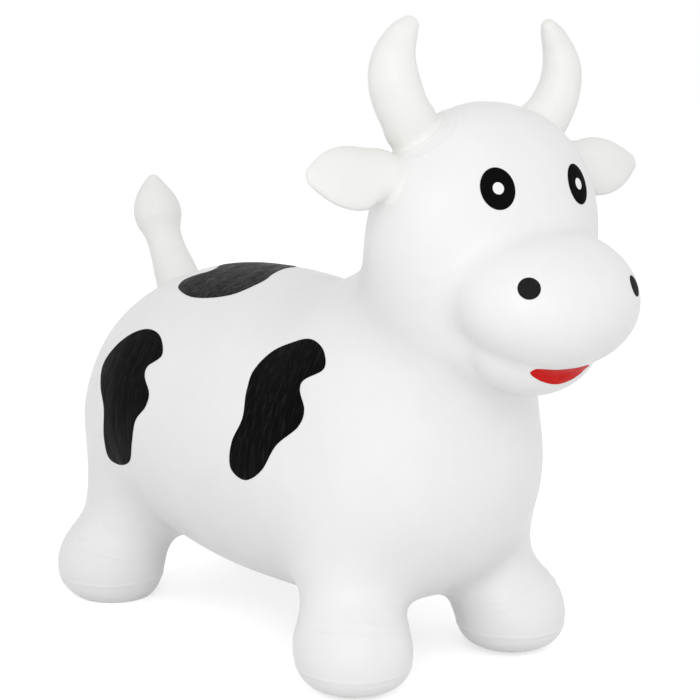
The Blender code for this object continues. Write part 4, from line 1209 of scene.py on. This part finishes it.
class HOPPER_OT_face_prints(bpy.types.Operator):
    """Print the eyes, the nostrils and the mouth"""

    bl_idname = "hopper.face_prints"
    bl_label = "Face prints"

    def execute(self, context):
        prints = context.scene.print_settings
        eye, dot = (prints.eye_width, prints.eye_height), (prints.dot_radius,) * 2
        nostril = (prints.nostril_radius,) * 2
        for side_name, side in SIDES.items():
            for node, (x, shift, z, rise), half_sizes, finish, slot, lifts in (
                ("eye", EYE_PLACE, eye, "eye_ink_film", "ink_black", FIRST_LIFT),
                ("eye_dot", EYE_PLACE, dot, "white_ink_film", "ink_white", DOT_LIFT),
                ("nostril", NOSTRIL_PLACE, nostril, "nostril_ink_film", "ink_black", FIRST_LIFT),
            ):
                centre = traced_to_skin(np.array((shift + side * x, AHEAD_Y, z + side * rise)), (0, 1, 0))
                out = outward(centre)
                heart = centre + out * EYE_AWAY
                outline = oval(heart, out, np.array((1.0, 0.0, 0.0)), *half_sizes, EYE_AROUND)
                add_film(f"{node}_{side_name}", outline, heart, -out, finish, lifts)
        corner = np.array(MOUTH_CORNER)
        size = np.array((2 * prints.mouth_width, prints.mouth_depth))
        flat = rounded_outline(MOUTH_SHARES, MOUTH_STEPS) * size + corner
        outline = np.column_stack([flat[:, 0], np.full(len(flat), AHEAD_Y), flat[:, 1]])
        heart = np.array(MOUTH_HEART) * size + corner
        add_film("mouth", outline, (heart[0], AHEAD_Y, heart[1]), (0, 1, 0), "red_ink_film")
        return {"FINISHED"}


class HOPPER_OT_spots(bpy.types.Operator):
    """Print the spots on the flanks and the back"""

    bl_idname = "hopper.spots"
    bl_label = "Spots"

    def execute(self, context):
        for name, (corner, size, heart, shares) in SPOTS.items():
            flat = rounded_outline(shares, SPOT_STEPS) * np.array(size) + np.array(corner)
            heart = np.array(heart) * np.array(size) + np.array(corner)
            if name == "top":
                outline = np.column_stack([flat, np.full(len(flat), ABOVE_Z)])
                # The spot on the back gets an ink painted paler as sheen from the light above
                add_film(
                    "spot_top", outline, (*heart, ABOVE_Z), (0, 0, -1), "stretched_ink_film"
                )
                continue
            for side_name, side in SIDES.items():
                x = side * BESIDE_X
                outline = np.column_stack([np.full(len(flat), x), flat])
                node = f"spot_flank_{name}_{side_name}"
                add_film(node, outline, (x, *heart), (-side, 0, 0), "black_ink_film")
        return {"FINISHED"}


def add_aimed(name, data, azimuth, elevation, distance):
    """A camera or lamp that faces the cow from a direction and a distance."""
    level = math.cos(elevation)
    back = Vector((-math.sin(azimuth) * level, -math.cos(azimuth) * level, math.sin(elevation)))
    aimed = bpy.data.objects.new(name, data)
    aimed.location = Vector(bpy.context.scene.stage_settings.target) + back * distance
    aimed.rotation_euler = (-back).to_track_quat("-Z", "Y").to_euler()
    bpy.context.scene.collection.objects.link(aimed)
    return aimed


def whiten(tree, light, white, socket):
    """Give a strength its light for the cow, and white where it is seen or mirrored."""
    path = tree.nodes.new("ShaderNodeLightPath")
    seen = path.outputs["Is Camera Ray"]
    for name in ("Is Glossy Ray", "Is Transmission Ray"):
        either = tree.nodes.new("ShaderNodeMath")
        either.operation = "MAXIMUM"
        tree.links.new(seen, either.inputs[0])
        tree.links.new(path.outputs[name], either.inputs[1])
        seen = either.outputs[0]
    ranged = tree.nodes.new("ShaderNodeMapRange")
    ranged.inputs["To Min"].default_value = light
    ranged.inputs["To Max"].default_value = white
    tree.links.new(seen, ranged.inputs["Value"])
    tree.links.new(ranged.outputs["Result"], socket)


class HOPPER_OT_stage(bpy.types.Operator):
    """Set up the floor, the studio light and the camera"""

    bl_idname = "hopper.stage"
    bl_label = "Stage"

    def execute(self, context):
        scene = context.scene
        stage = scene.stage_settings
        data = bpy.data.cameras.new("photo_camera")
        data.sensor_width = SENSOR_WIDTH
        data.lens = stage.lens
        data.clip_start = CLIP_START
        data.clip_end = CLIP_END
        scene.camera = add_aimed("photo_camera", data, stage.azimuth, stage.elevation, stage.distance)
        scene.view_settings.view_transform = "Standard"

        shape = bmesh.new()
        bmesh.ops.create_grid(shape, x_segments=1, y_segments=1, size=FLOOR_HALF)
        floor_finish = bpy.data.materials.new("studio_floor")
        floor_finish.use_nodes = True
        tree = floor_finish.node_tree
        shader = tree.nodes["Principled BSDF"]
        for key, value in FLOOR_FINISH.items():
            shader.inputs[key].default_value = value
        whiten(tree, stage.floor_glow, stage.floor_white, shader.inputs["Emission Strength"])
        floor = add_object("studio_floor", shape, floor_finish)

        world = bpy.data.worlds.new("studio_world")
        scene.world = world
        world.use_nodes = True
        background = world.node_tree.nodes["Background"]
        background.inputs["Color"].default_value = WHITE
        whiten(world.node_tree, stage.sky, 1.0, background.inputs["Strength"])

        for name, (power, turn, rise) in LAMPS.items():
            data = bpy.data.lights.new(name, "AREA")
            data.energy = getattr(stage, power)
            data.size = stage.lamp_size
            azimuth = stage.azimuth + math.radians(turn)
            add_aimed(name, data, azimuth, math.radians(rise), stage.lamp_distance)
        return {"FINISHED"}


class HOPPER_PT_panel(bpy.types.Panel):
    """The cow's pieces and settings"""

    bl_label = "Ride on cow"
    bl_idname = "HOPPER_PT_panel"
    bl_space_type = "VIEW_3D"
    bl_region_type = "UI"
    bl_category = "Hopper"

    def draw(self, context):
        for group in GROUPS:
            settings = getattr(context.scene, group)
            for key in settings.__annotations__:
                self.layout.prop(settings, key)
        for operator in OPERATORS:
            self.layout.operator(operator.bl_idname)


GROUPS = {
    "skin_settings": SkinSettings,
    "limb_settings": LimbSettings,
    "valve_settings": ValveSettings,
    "print_settings": PrintSettings,
    "finish_settings": FinishSettings,
    "stage_settings": StageSettings,
}
OPERATORS = (
    HOPPER_OT_skin,
    HOPPER_OT_horns,
    HOPPER_OT_ears,
    HOPPER_OT_tail,
    HOPPER_OT_valve,
    HOPPER_OT_face_prints,
    HOPPER_OT_spots,
    HOPPER_OT_stage,
)
CLASSES = (*GROUPS.values(), *OPERATORS, HOPPER_PT_panel)


def register():
    """Register the classes and hang the settings on the scene."""
    for kind in CLASSES:
        bpy.utils.register_class(kind)
    for name, kind in GROUPS.items():
        setattr(bpy.types.Scene, name, PointerProperty(type=kind))


def unregister():
    """Undo register."""
    for name in GROUPS:
        delattr(bpy.types.Scene, name)
    for kind in reversed(CLASSES):
        bpy.utils.unregister_class(kind)


def main():
    """Build every piece."""
    register()
    bpy.ops.hopper.skin()
    bpy.ops.hopper.horns()
    bpy.ops.hopper.ears()
    bpy.ops.hopper.tail()
    bpy.ops.hopper.valve()
    bpy.ops.hopper.face_prints()
    bpy.ops.hopper.spots()
    bpy.ops.hopper.stage()


if __name__ == "__main__":
    main()
